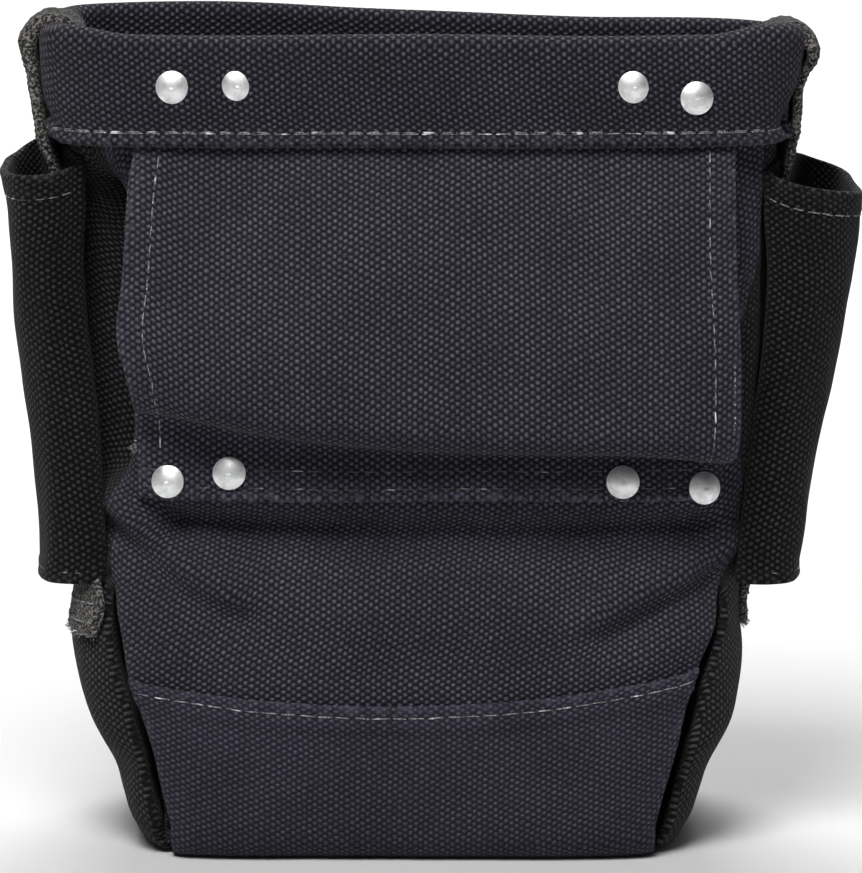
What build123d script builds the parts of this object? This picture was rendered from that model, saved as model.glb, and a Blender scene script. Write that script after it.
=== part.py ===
from build123d import *
import os
from bisect import bisect_right
from math import cos, hypot, pi, radians, sin

# A canvas bolt and tool bag worn on a belt. Millimetres, +Z up, +X to the right of
# somebody facing the belt side, and that side faces -Y. The origin is the middle of
# the footprint, on the surface that the bag stands on.

# Driving dimensions
HEIGHT = 233.5          # middle of the rim above the floor
RIM_TILT = 2.0e-4       # the rear rim stands this much higher, per mm of depth and height
CANVAS = 2.0            # thickness of one layer of canvas
GAP = 0.35              # clearance between layers
TUNNEL_SLACK = 0.8      # clearance between the tunnel's head and the collar over it
WEB_GAP = 0.5           # clearance under the webbing
WEB_RISE = 1.0          # more of it where the webbing rides over the collar
SEAM = 0.35             # half the slit between two panels, in degrees round the shell
CORNER = 45.0           # where the front and rear panels meet the gussets, in degrees

COLLAR_FOOT = 204.0     # lower edge of the folded collar
COLLAR_SEAM = 28.0      # where the two halves of the collar meet, in degrees
WALL_FOOT = 4.7         # lower edge of the four walls, just above the canvas bottom
BOOT_TOP = 53.5         # upper edge of the boot at its ends
BOOT_DIP = 8.0          # how much lower the boot's edge is in its middle
BOOT_HALF = 84.0        # half the width of the boot's upper edge
BOOT_X = -6.0           # the foot of the bag leans a little to the left
BOOT_INSET = 2.0        # the boot's side edges stop short of the corners, in degrees
BOOT_LAP = 0.15         # how far its plate reaches into its two legs
BOOT_SPARE = 4.0        # its legs are drawn this much too high, then trimmed

TUNNEL_HALF = 87.5      # half the width of the belt tunnel at its belly
TUNNEL_FOOT = 101.5     # lower edge of the tunnel's sewn foot
TUNNEL_HEAD = 228.0     # its upper edge, hidden under the collar
TUNNEL_FOLD = 120.0     # above this the tunnel's panel stands clear of the wall
TUNNEL_TURN = 113.0     # below this its foot lies flat on the wall
TUNNEL_FLARE = 0.2      # how much further it stands off at its two open ends

SLEEVE_FOOT = 76.0      # lower rim of both side sleeves
SLEEVE_HALF_DEPTH = 22.0
SLEEVE_Y = -7.0         # the sleeves hang in front of the sides' middle
SLEEVE_SQUARE = 2.6     # how square its outline is (2 is an ellipse)
SLEEVE_THREAD_LIFT = 0.45

WEB_WIDTH = 25.0
WEB_THICK = 2.5
WEB_FOOT = 62.0         # lower end of the webbing on the outside
WEB_TAIL = 190.0        # its other end, inside the bag
WEB_Y = -5.0            # the webbing runs a little in front of the side's middle
WEB_ARCH = 2.0          # how far it stands up over the rim
WEB_TURNS = (2.2, -4.2) # where it turns over the rim, from the shell's face
WEB_BARS = (3.0, 9.0)   # its two bars of stitching, from its lower end

RIVET_HEAD_R = 4.7
RIVET_HEAD_H = 1.9
RIVET_EDGE = 0.45
RIVET_SHANK_R = 2.0
RIVET_TAIL_R = 2.9
RIVET_TAIL_H = 0.7
BURR_R = 4.4
BURR_THICK = 0.9
BURR_GAP = 0.3
HEAD_GAP = 0.25         # clearance under a head
FOOT_GAP = 0.8          # the same on the tunnel's foot, which is curved
HOLE_R = 2.05
COLLAR_RIVETS = [(-72.4, 219.6), (-54.2, 220.2), (57.0, 219.9), (74.1, 216.5)]
TUNNEL_RIVETS = [(-73.8, 107.7), (-56.8, 110.4), (54.0, 107.9), (76.4, 105.6)]

THREAD = 0.7            # a seam's thread, laid on the cloth
THREAD_LIFT = 0.25
REAR_SEAM = (22.0, 158.0)   # where the rear collar's seam shows, between the webbings
FOOT_SEAMS = (105.1, 110.2) # the two rows along the tunnel's foot
FOOT_SEAM_HALF = 75.0       # half their length
# The seam along the tunnel's left side hem, and how much nearer the right one is.
SIDE_SEAM = [(-79.0, 125), (-80.5, 137), (-79.5, 160), (-76.0, 200)]
SIDE_SEAM_SHIFT = 1.5
RIVET_CLEAR = 0.5           # a seam stops this far short of a rivet's head
HEM = 3.5               # from an edge of the cloth to its seam

# The shell's outer face: at each height, how far it reaches to the left, right, front
# and rear, and how square its corners are (2 is an ellipse).
LEVELS = [
    (0.0, 83.0, 69.0, 55.5, 57.5, 6.0),
    (10.0, 88.0, 75.5, 58.0, 58.5, 6.0),
    (22.0, 90.5, 79.5, 57.5, 57.0, 5.5),
    (37.0, 98.5, 87.5, 56.0, 52.0, 5.0),
    (54.0, 102.0, 90.5, 54.0, 47.0, 4.5),
    (70.0, 100.0, 91.5, 51.0, 44.0, 4.5),
    (88.0, 98.0, 93.0, 47.0, 43.0, 4.5),
    (115.0, 98.0, 94.5, 43.0, 42.0, 4.5),
    (150.0, 99.5, 97.0, 39.5, 40.0, 4.5),
    (190.0, 103.0, 99.0, 35.5, 36.0, 5.0),
    (215.0, 106.0, 100.0, 34.0, 34.0, 5.0),
    (245.0, 107.5, 102.5, 34.0, 33.0, 5.0),
]
# The bottom edge is rounded: each layer is drawn in by this much near the floor.
TUCKS = [(0.0, 4.0), (2.0, 2.4), (4.0, 1.3), (8.0, 0.0), (300.0, 0.0)]

# Every layer is ruled between the same heights and drawn through the same angles, so
# that the gaps between layers stay even.
STEPS = [0, 1, 2, 3.3, WALL_FOOT, 6.3, 8, 14, 20, 26, 32, 38, 44, 50, 56, 62, 70, 78, 86]
STEPS += [95, 104, 114, 124, 134, 145, 156, 167, 178, 189, 200, 208, 216, 224, 229.5, 240]
ANGLE_STEP = 5


def between(table, z):
    """The table's row at height z, by a smooth curve through its rows."""
    heights = [row[0] for row in table]
    i = min(max(bisect_right(heights, z) - 1, 0), len(table) - 2)
    low, high = table[i], table[i + 1]
    before, after = table[max(i - 1, 0)], table[min(i + 2, len(table) - 1)]
    span = high[0] - low[0]
    t = (z - low[0]) / span
    values = []
    for a, b, c, d in zip(before[1:], low[1:], high[1:], after[1:]):
        slope_in = (c - a) / (high[0] - before[0]) * span
        slope_out = (d - b) / (after[0] - low[0]) * span
        values.append(
            (2 * t**3 - 3 * t**2 + 1) * b
            + (t**3 - 2 * t**2 + t) * slope_in
            + (3 * t**2 - 2 * t**3) * c
            + (t**3 - t**2) * slope_out
        )
    return values


def ring_xy(angle, z):
    """A point of the shell's outer face, in plan. 0 degrees is right, 270 is front."""
    left, right, front, rear, square = between(LEVELS, z)
    c, s = cos(radians(angle)), sin(radians(angle))
    reach = (abs(c) ** square + abs(s) ** square) ** (-1 / square)
    return (
        reach * c * (right if c > 0 else left),
        reach * s * (rear if s > 0 else front),
    )


def shell_point(angle, z, offset):
    """The shell's face at an angle and height, moved out by offset along its normal."""
    x, y = ring_xy(angle, z)
    x0, y0 = ring_xy(angle - 0.5, z)
    x1, y1 = ring_xy(angle + 0.5, z)
    long = hypot(x1 - x0, y1 - y0)
    tuck = between(TUCKS, z)[0] if z < 8 else 0.0
    x += (offset - tuck) * (y1 - y0) / long
    y -= (offset - tuck) * (x1 - x0) / long
    return Vector(x, y, z * (1 + RIM_TILT * y))


def strip(start, end, z, inner, outer):
    """A closed section of one sheet, from angle start to angle end."""
    first = int(start // ANGLE_STEP) + 1
    whole = [i * ANGLE_STEP for i in range(first, int(end // ANGLE_STEP) + 1)]
    angles = [start] + [a for a in whole if start + 1 < a < end - 1] + [end]
    out = [shell_point(a, z, outer) for a in angles]
    back = [shell_point(a, z, inner) for a in reversed(angles)]
    edges = [Spline(*out), Line(out[-1], back[0]), Spline(*back), Line(back[-1], out[0])]
    return Wire(edges)


def sheet(start, end, low, high, inner, outer):
    """One sheet of cloth between two angles and two heights."""
    heights = [low] + [z for z in STEPS if low + 0.2 < z < high - 0.2] + [high]
    return Solid.make_loft([strip(start, end, z, inner, outer) for z in heights], True)


def angle_at(x, z, low, high):
    """The angle, between low and high, where the shell's face has this x."""
    for _ in range(40):
        middle = (low + high) / 2
        if (ring_xy(middle, z)[0] < x) == (ring_xy(high, z)[0] > ring_xy(low, z)[0]):
            low = middle
        else:
            high = middle
    return (low + high) / 2


def front_plane(x, z, offset):
    """A plane on the front of the shell at x and z, its Z axis pointing out."""
    angle = angle_at(x, z, 184, 356)
    origin = shell_point(angle, z, offset)
    side = shell_point(angle + 0.5, z, offset) - shell_point(angle - 0.5, z, offset)
    up = shell_point(angle, z + 1, offset) - shell_point(angle, z - 1, offset)
    return Plane(origin=origin, x_dir=side, z_dir=side.cross(up))


def front_y(x, z):
    """How far forward the shell's front face is at x and z."""
    return shell_point(angle_at(x, z, 184, 356), z, 0).Y


def moved_out(middle, distance, square_to=Vector(1, 0, 0)):
    """A line of points in one upright plane, moved sideways by distance."""
    moved = []
    for i, point in enumerate(middle):
        along = middle[min(i + 1, len(middle) - 1)] - middle[max(i - 1, 0)]
        moved.append(point + square_to.cross(along).normalized() * distance)
    return moved


def ribbon(middle, thick, square_to=Vector(1, 0, 0)):
    """A closed section of this thickness along a line of points in one plane."""
    one_side = moved_out(middle, thick / 2, square_to)
    other_side = list(reversed(moved_out(middle, -thick / 2, square_to)))
    edges = [
        Spline(*one_side),
        Line(one_side[-1], other_side[0]),
        Spline(*other_side),
        Line(other_side[-1], one_side[0]),
    ]
    return Wire(edges)


# Walls, bottom and boot

def walls():
    """The four walls, which meet at the corners."""
    turns = {
        "right_gusset": (-CORNER, CORNER),
        "rear_panel": (CORNER, 180 - CORNER),
        "left_gusset": (180 - CORNER, 180 + CORNER),
        "front_panel": (180 + CORNER, 360 - CORNER),
    }
    top = HEIGHT - CANVAS - GAP
    return {
        name: sheet(start + SEAM, end - SEAM, WALL_FOOT, top, -CANVAS, 0)
        for name, (start, end) in turns.items()
    }


def footprint(z, offset):
    """The whole outline at height z, laid flat, as one face."""
    points = [shell_point(a, z, offset) for a in range(0, 360, ANGLE_STEP)]
    return Face(Wire([Spline(*[Vector(p.X, p.Y, 0) for p in points], periodic=True)]))


def bottom_panel():
    low = CANVAS + GAP
    return Pos(0, 0, low) * extrude(footprint(low, -GAP), CANVAS)


def seen_from_front(points):
    """A prism through the whole bag with this outline, given as x and z."""
    outline = Polyline(*[(x, -90, z) for x, z in points], close=True)
    return extrude(Face(Wire(outline.edges())), 180, (0, 1, 0))


def boot_rim(drop):
    """The boot's upper edge, lowered by drop, as x and z from left to right."""
    points = []
    for i in range(-12, 13):
        share = i / 12
        z = BOOT_TOP - BOOT_DIP * cos(share * pi / 2) ** 0.8 - drop
        points.append((BOOT_X + share * BOOT_HALF, z))
    return points


def boot_leg(start, end):
    """One upright part of the boot, its upper edge dipping in the middle."""
    start, end = start + BOOT_INSET, end - BOOT_INSET
    leg = sheet(start, end, 0, BOOT_TOP + BOOT_SPARE, GAP, GAP + CANVAS)
    rim = boot_rim(0)
    below = [(rim[-1][0] + 20, BOOT_TOP), (rim[-1][0] + 20, -9), (rim[0][0] - 20, -9)]
    return leg & seen_from_front([(rim[0][0] - 20, BOOT_TOP)] + rim + below)


def bottom_boot():
    base = extrude(footprint(0, GAP + CANVAS - BOOT_LAP), CANVAS)
    return base + boot_leg(180 + CORNER, 360 - CORNER) + boot_leg(CORNER, 180 - CORNER)


# Collar

def collar(start, end, outside):
    """A band folded over the rim: an outer leg, an inner leg and the fold above."""
    inside = -CANVAS - GAP
    band = sheet(start, end, COLLAR_FOOT, HEIGHT, inside - CANVAS, outside + CANVAS)
    slot = sheet(start - 2, end + 2, COLLAR_FOOT - 4, HEIGHT - CANVAS, inside, outside)
    return band - slot


# Belt tunnel

# How far the tunnel's inner face stands off the front wall, from its foot up.
STAND_OFF = [
    (TUNNEL_FOOT, GAP),
    (106.0, GAP),
    (112.0, GAP),
    (114.8, 0.8),
    (117.2, 4.0),
    (119.6, 9.0),
    (123.0, 13.4),
    (128.5, 15.6),
    (136.0, 16.0),
    (152.0, 14.5),
    (168.0, 11.5),
    (184.0, 6.6),
    (194.0, 2.8),
    (201.0, 0.8),
    (206.0, GAP),
    (212.0, GAP),
    (220.0, GAP),
    (TUNNEL_HEAD, GAP),
]
# The panel's edge, from its foot up, as seen from the front.
TUNNEL_EDGE = [(TUNNEL_FOOT - 1, 79.5), (113, 80.0), (124, 86.5), (160, 87.5), (235, 85)]


def tunnel_sheet(rows, lift, thick):
    """The panel's shape, or a thinner layer lifted off its outer face."""
    reach = TUNNEL_HALF + 4
    sections = []
    for x in (-reach, -72, -50, -25, 0, 25, 50, 72, reach):
        spread = 1 + TUNNEL_FLARE * (x / TUNNEL_HALF) ** 2
        middle = []
        for z, gap in rows:
            off = GAP + (gap - GAP) * spread + CANVAS / 2
            middle.append(Vector(x, front_y(x, z) - off, z))
        sections.append(ribbon(moved_out(middle, lift), thick))
    return Solid.make_loft(sections)


def belt_tunnel():
    """A panel that stands off the front wall, wide enough inside for a belt."""
    right = [(x, z) for z, x in TUNNEL_EDGE]
    left = [(-x, z) for z, x in reversed(TUNNEL_EDGE)]
    return tunnel_sheet(STAND_OFF, 0, CANVAS) & seen_from_front(right + left)


# Side sleeves

def sleeve_ring(side, z, inner_x, outer_x, lean, shrink):
    """The sleeve's outline at height z, drawn in by shrink all round."""
    middle, half = (inner_x + outer_x) / 2, (outer_x - inner_x) / 2
    points = []
    for i in range(20):
        c, s = cos(i * pi / 10), sin(i * pi / 10)
        reach = (abs(c) ** SLEEVE_SQUARE + abs(s) ** SLEEVE_SQUARE) ** (-1 / SLEEVE_SQUARE)
        x = side * (middle + (half - shrink) * reach * c)
        y = (SLEEVE_HALF_DEPTH - shrink) * reach * s
        points.append((x, SLEEVE_Y + y, z + lean * y))
    return Wire([Spline(*points, periodic=True)])


def sleeve(side, rows):
    """An open tube: rows give a height, the inner and outer reach, and the rim's lean."""
    outer = Solid.make_loft([sleeve_ring(side, *row, 0) for row in rows])
    first, last = rows[0], rows[-1]
    longer = [
        (first[0] - 6, *first[1:]),
        *rows[1:-1],
        (last[0] + 6, *last[1:]),
    ]
    inner = Solid.make_loft([sleeve_ring(side, *row, CANVAS) for row in longer])
    return outer - inner


LEFT_SLEEVE = [
    (SLEEVE_FOOT, 102.4, 114.8, 0.0),
    (100.0, 102.2, 115.8, 0.02),
    (125.0, 102.0, 117.6, 0.05),
    (150.0, 103.0, 120.0, 0.09),
    (175.0, 105.6, 122.2, 0.13),
    (196.5, 110.0, 123.5, 0.17),
]
RIGHT_SLEEVE = [
    (SLEEVE_FOOT, 96.4, 108.5, 0.0),
    (100.0, 97.6, 112.0, 0.02),
    (125.0, 98.8, 116.0, 0.05),
    (150.0, 100.6, 120.0, 0.09),
    (172.0, 102.0, 122.3, 0.13),
    (191.0, 105.0, 123.6, 0.17),
]


# Side webbing

def webbing(side):
    """Coarse webbing up the side, over the rim and down inside, sewn at both ends."""
    half = WEB_THICK / 2
    under_sleeve = WEB_GAP + half
    over_collar = GAP + CANVAS + WEB_GAP + WEB_RISE + half
    inside = -(CANVAS + GAP + CANVAS + WEB_GAP + WEB_RISE + half)
    low = [(z, under_sleeve) for z in STEPS if WEB_FOOT <= z < COLLAR_FOOT - 6]
    high = [(z, over_collar) for z in STEPS if COLLAR_FOOT - 2 < z < HEIGHT - 3]
    down = [(z, inside) for z in reversed(STEPS) if WEB_TAIL <= z < HEIGHT - 3]
    top = HEIGHT + WEB_GAP + half + WEB_ARCH
    over_rim = [(top, turn) for turn in WEB_TURNS]
    middle = []
    for z, off in low + [(COLLAR_FOOT - 1, over_collar)] + high + over_rim + down:
        reach = between(LEVELS, min(z, HEIGHT))[1 if side > 0 else 0]
        middle.append(Vector(side * (reach + off), 0, z))
    flat = Face(ribbon(middle, WEB_THICK, Vector(0, 1, 0)))
    return Pos(0, WEB_Y, 0) * extrude(flat, WEB_WIDTH / 2, dir=(0, 1, 0), both=True)


# Rivets

def disc(radius, low, high):
    return Pos(0, 0, low) * extrude(Circle(radius), high - low)


def rivet(plane, grip):
    """A domed head on a plane, its shank, and the tail clinched behind the burr."""
    rise = RIVET_HEAD_H - RIVET_EDGE
    dome_r = (RIVET_HEAD_R**2 + rise**2) / (2 * rise)
    dome = Pos(0, 0, RIVET_HEAD_H - dome_r) * Sphere(dome_r)
    head = disc(RIVET_HEAD_R, 0, RIVET_HEAD_H) & dome
    shoulder = -grip - BURR_THICK - 0.1
    shank = disc(RIVET_SHANK_R, shoulder - 0.1, 0.2)
    tail = disc(RIVET_TAIL_R, shoulder - RIVET_TAIL_H, shoulder)
    return plane.location * (head + shank + tail)


def burr(plane, grip):
    """The washer that the tail is clinched over."""
    return plane.location * (
        disc(BURR_R, -grip - BURR_THICK, -grip) - disc(HOLE_R, -grip - 2, -grip + 1)
    )


def group(shapes):
    """Separate solids kept in one node, less any crumb left by a cut."""
    solids = [solid for shape in shapes for solid in shape.solids()]
    return Compound(children=[solid for solid in solids if solid.volume > 1])


def riveted(parts, places, layers, outside, inside):
    """Rivets through the layers, from the outer offset to the inner one."""
    heads, burrs = [], []
    grip = outside - inside + BURR_GAP
    for x, z in places:
        plane = front_plane(x, z, outside)
        hole = plane.location * disc(HOLE_R, -grip, 2)
        for name in layers:
            parts[name] = parts[name] - hole
        heads.append(rivet(plane, grip))
        burrs.append(burr(plane, grip))
    return group(heads), group(burrs)


# Seam threads

def shell_thread(start, end, z, offset):
    low = offset + THREAD_LIFT
    return sheet(start, end, z, z + THREAD, low, low + THREAD)


def band(points, across):
    """A narrow outline along points, across by across wide."""
    return points + [(x + across[0], z + across[1]) for x, z in reversed(points)]


def tunnel_threads():
    lift = CANVAS / 2 + THREAD_LIFT + THREAD / 2
    panel = tunnel_sheet([row for row in STAND_OFF if row[0] > TUNNEL_FOLD], lift, THREAD)
    foot = tunnel_sheet([row for row in STAND_OFF if row[0] < TUNNEL_TURN], lift, THREAD)
    left = panel & seen_from_front(band(SIDE_SEAM, (THREAD, 0)))
    mirrored = [(-x - SIDE_SEAM_SHIFT, z) for x, z in SIDE_SEAM]
    right = panel & seen_from_front(band(mirrored, (THREAD, 0)))
    rows = []
    for z in FOOT_SEAMS:
        ends = [(-FOOT_SEAM_HALF, z), (FOOT_SEAM_HALF, z)]
        rows.append(foot & seen_from_front(band(ends, (0, THREAD))))
    for x, z in TUNNEL_RIVETS:
        plane = front_plane(x, z, GAP + CANVAS)
        clear = plane.location * disc(RIVET_HEAD_R + RIVET_CLEAR, -4, 4)
        rows = [row - clear for row in rows]
    return group([left]), group([right]), group(rows)


def boot_thread(start, end):
    low = GAP + CANVAS + THREAD_LIFT
    start, end = start + 2 * BOOT_INSET, end - 2 * BOOT_INSET
    foot, head = BOOT_TOP - 2 * BOOT_DIP - HEM, BOOT_TOP + BOOT_SPARE
    layer = sheet(start, end, foot, head, low, low + THREAD)
    return layer & seen_from_front(band(boot_rim(HEM), (0, THREAD)))


def sleeve_thread(side, rows, z):
    """One thread along the seen half of a sleeve's hem."""
    near, far = SLEEVE_THREAD_LIFT, SLEEVE_THREAD_LIFT + THREAD
    ring = [(height, *between(rows, height)) for height in (z, z + THREAD)]
    wider = [(ring[0][0] - 3, *ring[0][1:]), (ring[1][0] + 3, *ring[1][1:])]
    outer = Solid.make_loft([sleeve_ring(side, *row, -far) for row in ring])
    inner = Solid.make_loft([sleeve_ring(side, *row, -near) for row in wider])
    middle = side * (ring[0][1] + ring[0][2]) / 2
    return (outer - inner) & (Pos(middle + side * 30, 0, z) * Box(60, 80, 40))


def webbing_threads(side):
    """Two bars of stitching that hold the webbing's outer end."""
    bars = []
    lift = WEB_GAP + WEB_THICK + SLEEVE_THREAD_LIFT + THREAD / 2
    for z in (WEB_FOOT + rise for rise in WEB_BARS):
        x = side * (between(LEVELS, z)[1 if side > 0 else 0] + lift)
        bars.append(Pos(x, WEB_Y, z) * Box(THREAD, WEB_WIDTH - 4, THREAD))
    return group(bars)


def main():
    os.makedirs("parts", exist_ok=True)
    parts = walls()
    parts["bottom_panel"] = bottom_panel()
    parts["bottom_boot"] = bottom_boot()

    over_wall = GAP + CANVAS
    over_tunnel = over_wall + TUNNEL_SLACK + CANVAS
    inside = -CANVAS - GAP - CANVAS
    front = (180 + COLLAR_SEAM + SEAM, 360 - COLLAR_SEAM - SEAM)
    rear = (-COLLAR_SEAM + SEAM, 180 + COLLAR_SEAM - SEAM)
    parts["front_collar"] = collar(*front, over_wall + TUNNEL_SLACK)
    parts["rear_collar"] = collar(*rear, GAP)
    parts["belt_tunnel"] = belt_tunnel()
    parts["left_sleeve"] = sleeve(-1, LEFT_SLEEVE)
    parts["right_sleeve"] = sleeve(1, RIGHT_SLEEVE)
    parts["left_webbing"] = webbing(-1)
    parts["right_webbing"] = webbing(1)

    through_collar = ["front_collar", "belt_tunnel", "front_panel"]
    under_head = over_tunnel + HEAD_GAP
    heads, burrs = riveted(parts, COLLAR_RIVETS, through_collar, under_head, inside)
    parts["collar_rivets"], parts["collar_rivet_burrs"] = heads, burrs
    through_foot = ["belt_tunnel", "front_panel"]
    under_head = over_wall + FOOT_GAP
    heads, burrs = riveted(parts, TUNNEL_RIVETS, through_foot, under_head, -CANVAS)
    parts["tunnel_rivets"], parts["tunnel_rivet_burrs"] = heads, burrs

    left, right, foot = tunnel_threads()
    parts["tunnel_left_thread"] = left
    parts["tunnel_right_thread"] = right
    parts["tunnel_foot_threads"] = foot
    seam_z = COLLAR_FOOT + HEM
    parts["front_collar_thread"] = shell_thread(front[0] + 1, front[1] - 1, seam_z, over_tunnel)
    parts["rear_collar_thread"] = shell_thread(*REAR_SEAM, seam_z, over_wall)
    parts["boot_front_thread"] = boot_thread(180 + CORNER, 360 - CORNER)
    parts["boot_rear_thread"] = boot_thread(CORNER, 180 - CORNER)
    for side, name, rows in ((-1, "left", LEFT_SLEEVE), (1, "right", RIGHT_SLEEVE)):
        top, foot = rows[-1][0] - 2 * HEM, rows[0][0] + HEM
        rings = [sleeve_thread(side, rows, z) for z in (foot, top)]
        parts[f"{name}_sleeve_threads"] = group(rings)
        parts[f"{name}_webbing_threads"] = webbing_threads(side)

    for name, shape in parts.items():
        export_step(shape, f"parts/{name}.step")
    box = Compound(children=list(parts.values())).bounding_box()
    print("box", box.min, box.max)


main()
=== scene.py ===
import math

import bpy
import numpy as np
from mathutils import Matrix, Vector
from mathutils.bvhtree import BVHTree


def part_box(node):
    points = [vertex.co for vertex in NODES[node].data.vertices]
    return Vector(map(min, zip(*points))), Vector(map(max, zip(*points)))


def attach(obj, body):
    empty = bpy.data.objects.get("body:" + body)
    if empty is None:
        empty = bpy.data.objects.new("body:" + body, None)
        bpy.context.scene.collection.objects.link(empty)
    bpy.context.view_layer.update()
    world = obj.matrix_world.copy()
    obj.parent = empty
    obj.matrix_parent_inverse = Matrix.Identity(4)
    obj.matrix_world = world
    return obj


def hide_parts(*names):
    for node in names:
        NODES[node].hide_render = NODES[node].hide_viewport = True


# The looks of a canvas bolt and tool bag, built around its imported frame. Lengths are
# worked out in millimetres and written to the meshes in metres.

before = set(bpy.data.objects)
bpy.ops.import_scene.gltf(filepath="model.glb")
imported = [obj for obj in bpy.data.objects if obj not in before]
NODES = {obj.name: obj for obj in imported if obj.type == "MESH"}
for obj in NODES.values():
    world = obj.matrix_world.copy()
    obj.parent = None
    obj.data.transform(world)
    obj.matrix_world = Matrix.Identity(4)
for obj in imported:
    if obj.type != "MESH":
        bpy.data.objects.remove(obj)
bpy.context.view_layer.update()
MM = 0.001
CANVAS = 2.0        # one layer of canvas
GAP = 0.35          # between layers
WEAVE_U, WEAVE_V = 1.5, 0.98
RIB = 2.4           # one rib of the webbing, across it
BOOT_SEAM = 3.5     # in from the boot's hems
SLEEVE_SEAMS = {"foot": 3.5, "mouth": 7.0}


# Numbers and fields

def smooth(x, low, high):
    t = np.clip((np.asarray(x, float) - low) / (high - low), 0, 1)
    return t * t * (3 - 2 * t)


def hump(x, centre, width):
    return np.exp(-(((x - centre) / width) ** 2))


def curve(xs, ys, x):
    """A smooth curve through the points (xs, ys), read at x."""
    xs, ys, x = np.asarray(xs, float), np.asarray(ys, float), np.asarray(x, float)
    i = np.clip(np.searchsorted(xs, x, side="right") - 1, 0, len(xs) - 2)
    slopes = np.gradient(ys, xs)
    span = xs[i + 1] - xs[i]
    t = np.clip((x - xs[i]) / span, 0, 1)
    return (
        (2 * t**3 - 3 * t**2 + 1) * ys[i]
        + (t**3 - 2 * t**2 + t) * span * slopes[i]
        + (3 * t**2 - 2 * t**3) * ys[i + 1]
        + (t**3 - t**2) * span * slopes[i + 1]
    )


def ripple(points, size, seed):
    """A soft random field over space, about -1 to 1, whose waves are about size long."""
    rng = np.random.default_rng(seed)
    total = np.zeros(points.shape[:-1])
    for _ in range(9):
        way = rng.normal(size=3)
        way *= 2 * math.pi / (size * rng.uniform(0.7, 1.6)) / np.linalg.norm(way)
        total += np.sin(points @ way + rng.uniform(0, 2 * math.pi))
    return total / 3.2


def ridge(x, z, points, width):
    """1 along a line of (x, z) points, fading to 0 over width and past its ends."""
    best = np.full(np.shape(x), 1e9)
    for (x0, z0), (x1, z1) in zip(points, points[1:]):
        dx, dz = x1 - x0, z1 - z0
        t = np.clip(((x - x0) * dx + (z - z0) * dz) / (dx * dx + dz * dz), 0, 1)
        best = np.minimum(best, np.hypot(x - x0 - t * dx, z - z0 - t * dz))
    return np.exp(-((best / width) ** 2))


def running(points, axis):
    """The distance run along an axis of a line or grid of points, in mm."""
    steps = np.linalg.norm(np.diff(points, axis=axis), axis=-1)
    start = np.zeros_like(np.take(steps, [0], axis=axis))
    return np.cumsum(np.concatenate([start, steps], axis=axis), axis=axis)


# The shell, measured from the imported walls

def tree_of(*names):
    verts, faces = [], []
    for name in names:
        base = len(verts)
        verts += [v.co.copy() for v in NODES[name].data.vertices]
        faces += [[base + i for i in p.vertices] for p in NODES[name].data.polygons]
    return BVHTree.FromPolygons(verts, faces)


def hit(tree, start, way):
    found = tree.ray_cast(Vector(start) * MM, Vector(way).normalized())[0]
    return None if found is None else np.array(found) / MM


WALLS = tree_of("front_panel", "rear_panel", "left_gusset", "right_gusset")
COLLAR_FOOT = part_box("front_collar")[0].z / MM
REAR_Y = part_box("rear_collar")[1].y / MM
RIM = float(hit(tree_of("rear_collar"), (0, REAR_Y - 1.5, 400), (0, 0, -1))[2])
BOOT_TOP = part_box("bottom_boot")[1].z / MM


def measured_tilt():
    """How much higher the rear stands, per mm of depth and of height."""
    front = hit(WALLS, (0, -400, 226), (0, 1, 0))[1]
    rear = hit(WALLS, (0, 400, 226), (0, -1, 0))[1]
    front_top = hit(WALLS, (0, front + 1, 400), (0, 0, -1))[2]
    rear_top = hit(WALLS, (0, rear - 1, 400), (0, 0, -1))[2]
    return (rear_top - front_top) / (front_top * rear - rear_top * front)


TILT = measured_tilt()
HEIGHT = RIM / (1 + TILT * REAR_Y)


def measured_row(z):
    """The shell's reach to the left, right, front and rear at z, and its squareness."""
    def cast(way):
        way = np.array(way, float)
        y = 0.0
        for _ in range(3):
            place = hit(WALLS, (*(way * 400 / np.hypot(*way)), z * (1 + TILT * y)), (*-way, 0))
            y = place[1]
        return place

    left, right = -cast((-1, 0))[0], cast((1, 0))[0]
    front, rear = -cast((0, -1))[1], cast((0, 1))[1]
    squares = []
    for sx, sy in ((-1, -1), (1, -1), (1, 1), (-1, 1)):
        reach_x, reach_y = (right if sx > 0 else left), (rear if sy > 0 else front)
        c, s = math.cos(math.radians(38)), math.sin(math.radians(38))
        place = cast((sx * reach_x * c, sy * reach_y * s))
        share = abs(place[0]) / (reach_x * c)
        low, high = 2.0, 12.0
        for _ in range(30):
            middle = (low + high) / 2
            if (c**middle + s**middle) ** (-1 / middle) < share:
                low = middle
            else:
                high = middle
        squares.append(low)
    return [z, left, right, front, rear, sum(squares) / 4]


HEIGHTS = [6, 10, 16, 22, 30, 38, 46, 54, 62, 70, 80, 90, 102, 115, 130, 150, 170, 190, 202, 215, 228]
ROWS = np.array([measured_row(z) for z in HEIGHTS])


def row_at(z):
    return [curve(ROWS[:, 0], ROWS[:, k], np.clip(z, 6, 228)) for k in range(1, 6)]


def ring(theta, z):
    """The shell in plan. 0 degrees is right, 90 rear, 180 left, 270 front."""
    left, right, front, rear, square = row_at(z)
    c, s = np.cos(np.radians(theta)), np.sin(np.radians(theta))
    reach = (np.abs(c) ** square + np.abs(s) ** square) ** (-1 / square)
    return reach * c * np.where(c > 0, right, left), reach * s * np.where(s > 0, rear, front)


def valley(x, z):
    """The hollow below the belt tunnel's foot."""
    return -8.0 * ridge(x, z, [(-72, 95), (-20, 92), (30, 92), (76, 93)], 6.5)


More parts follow.
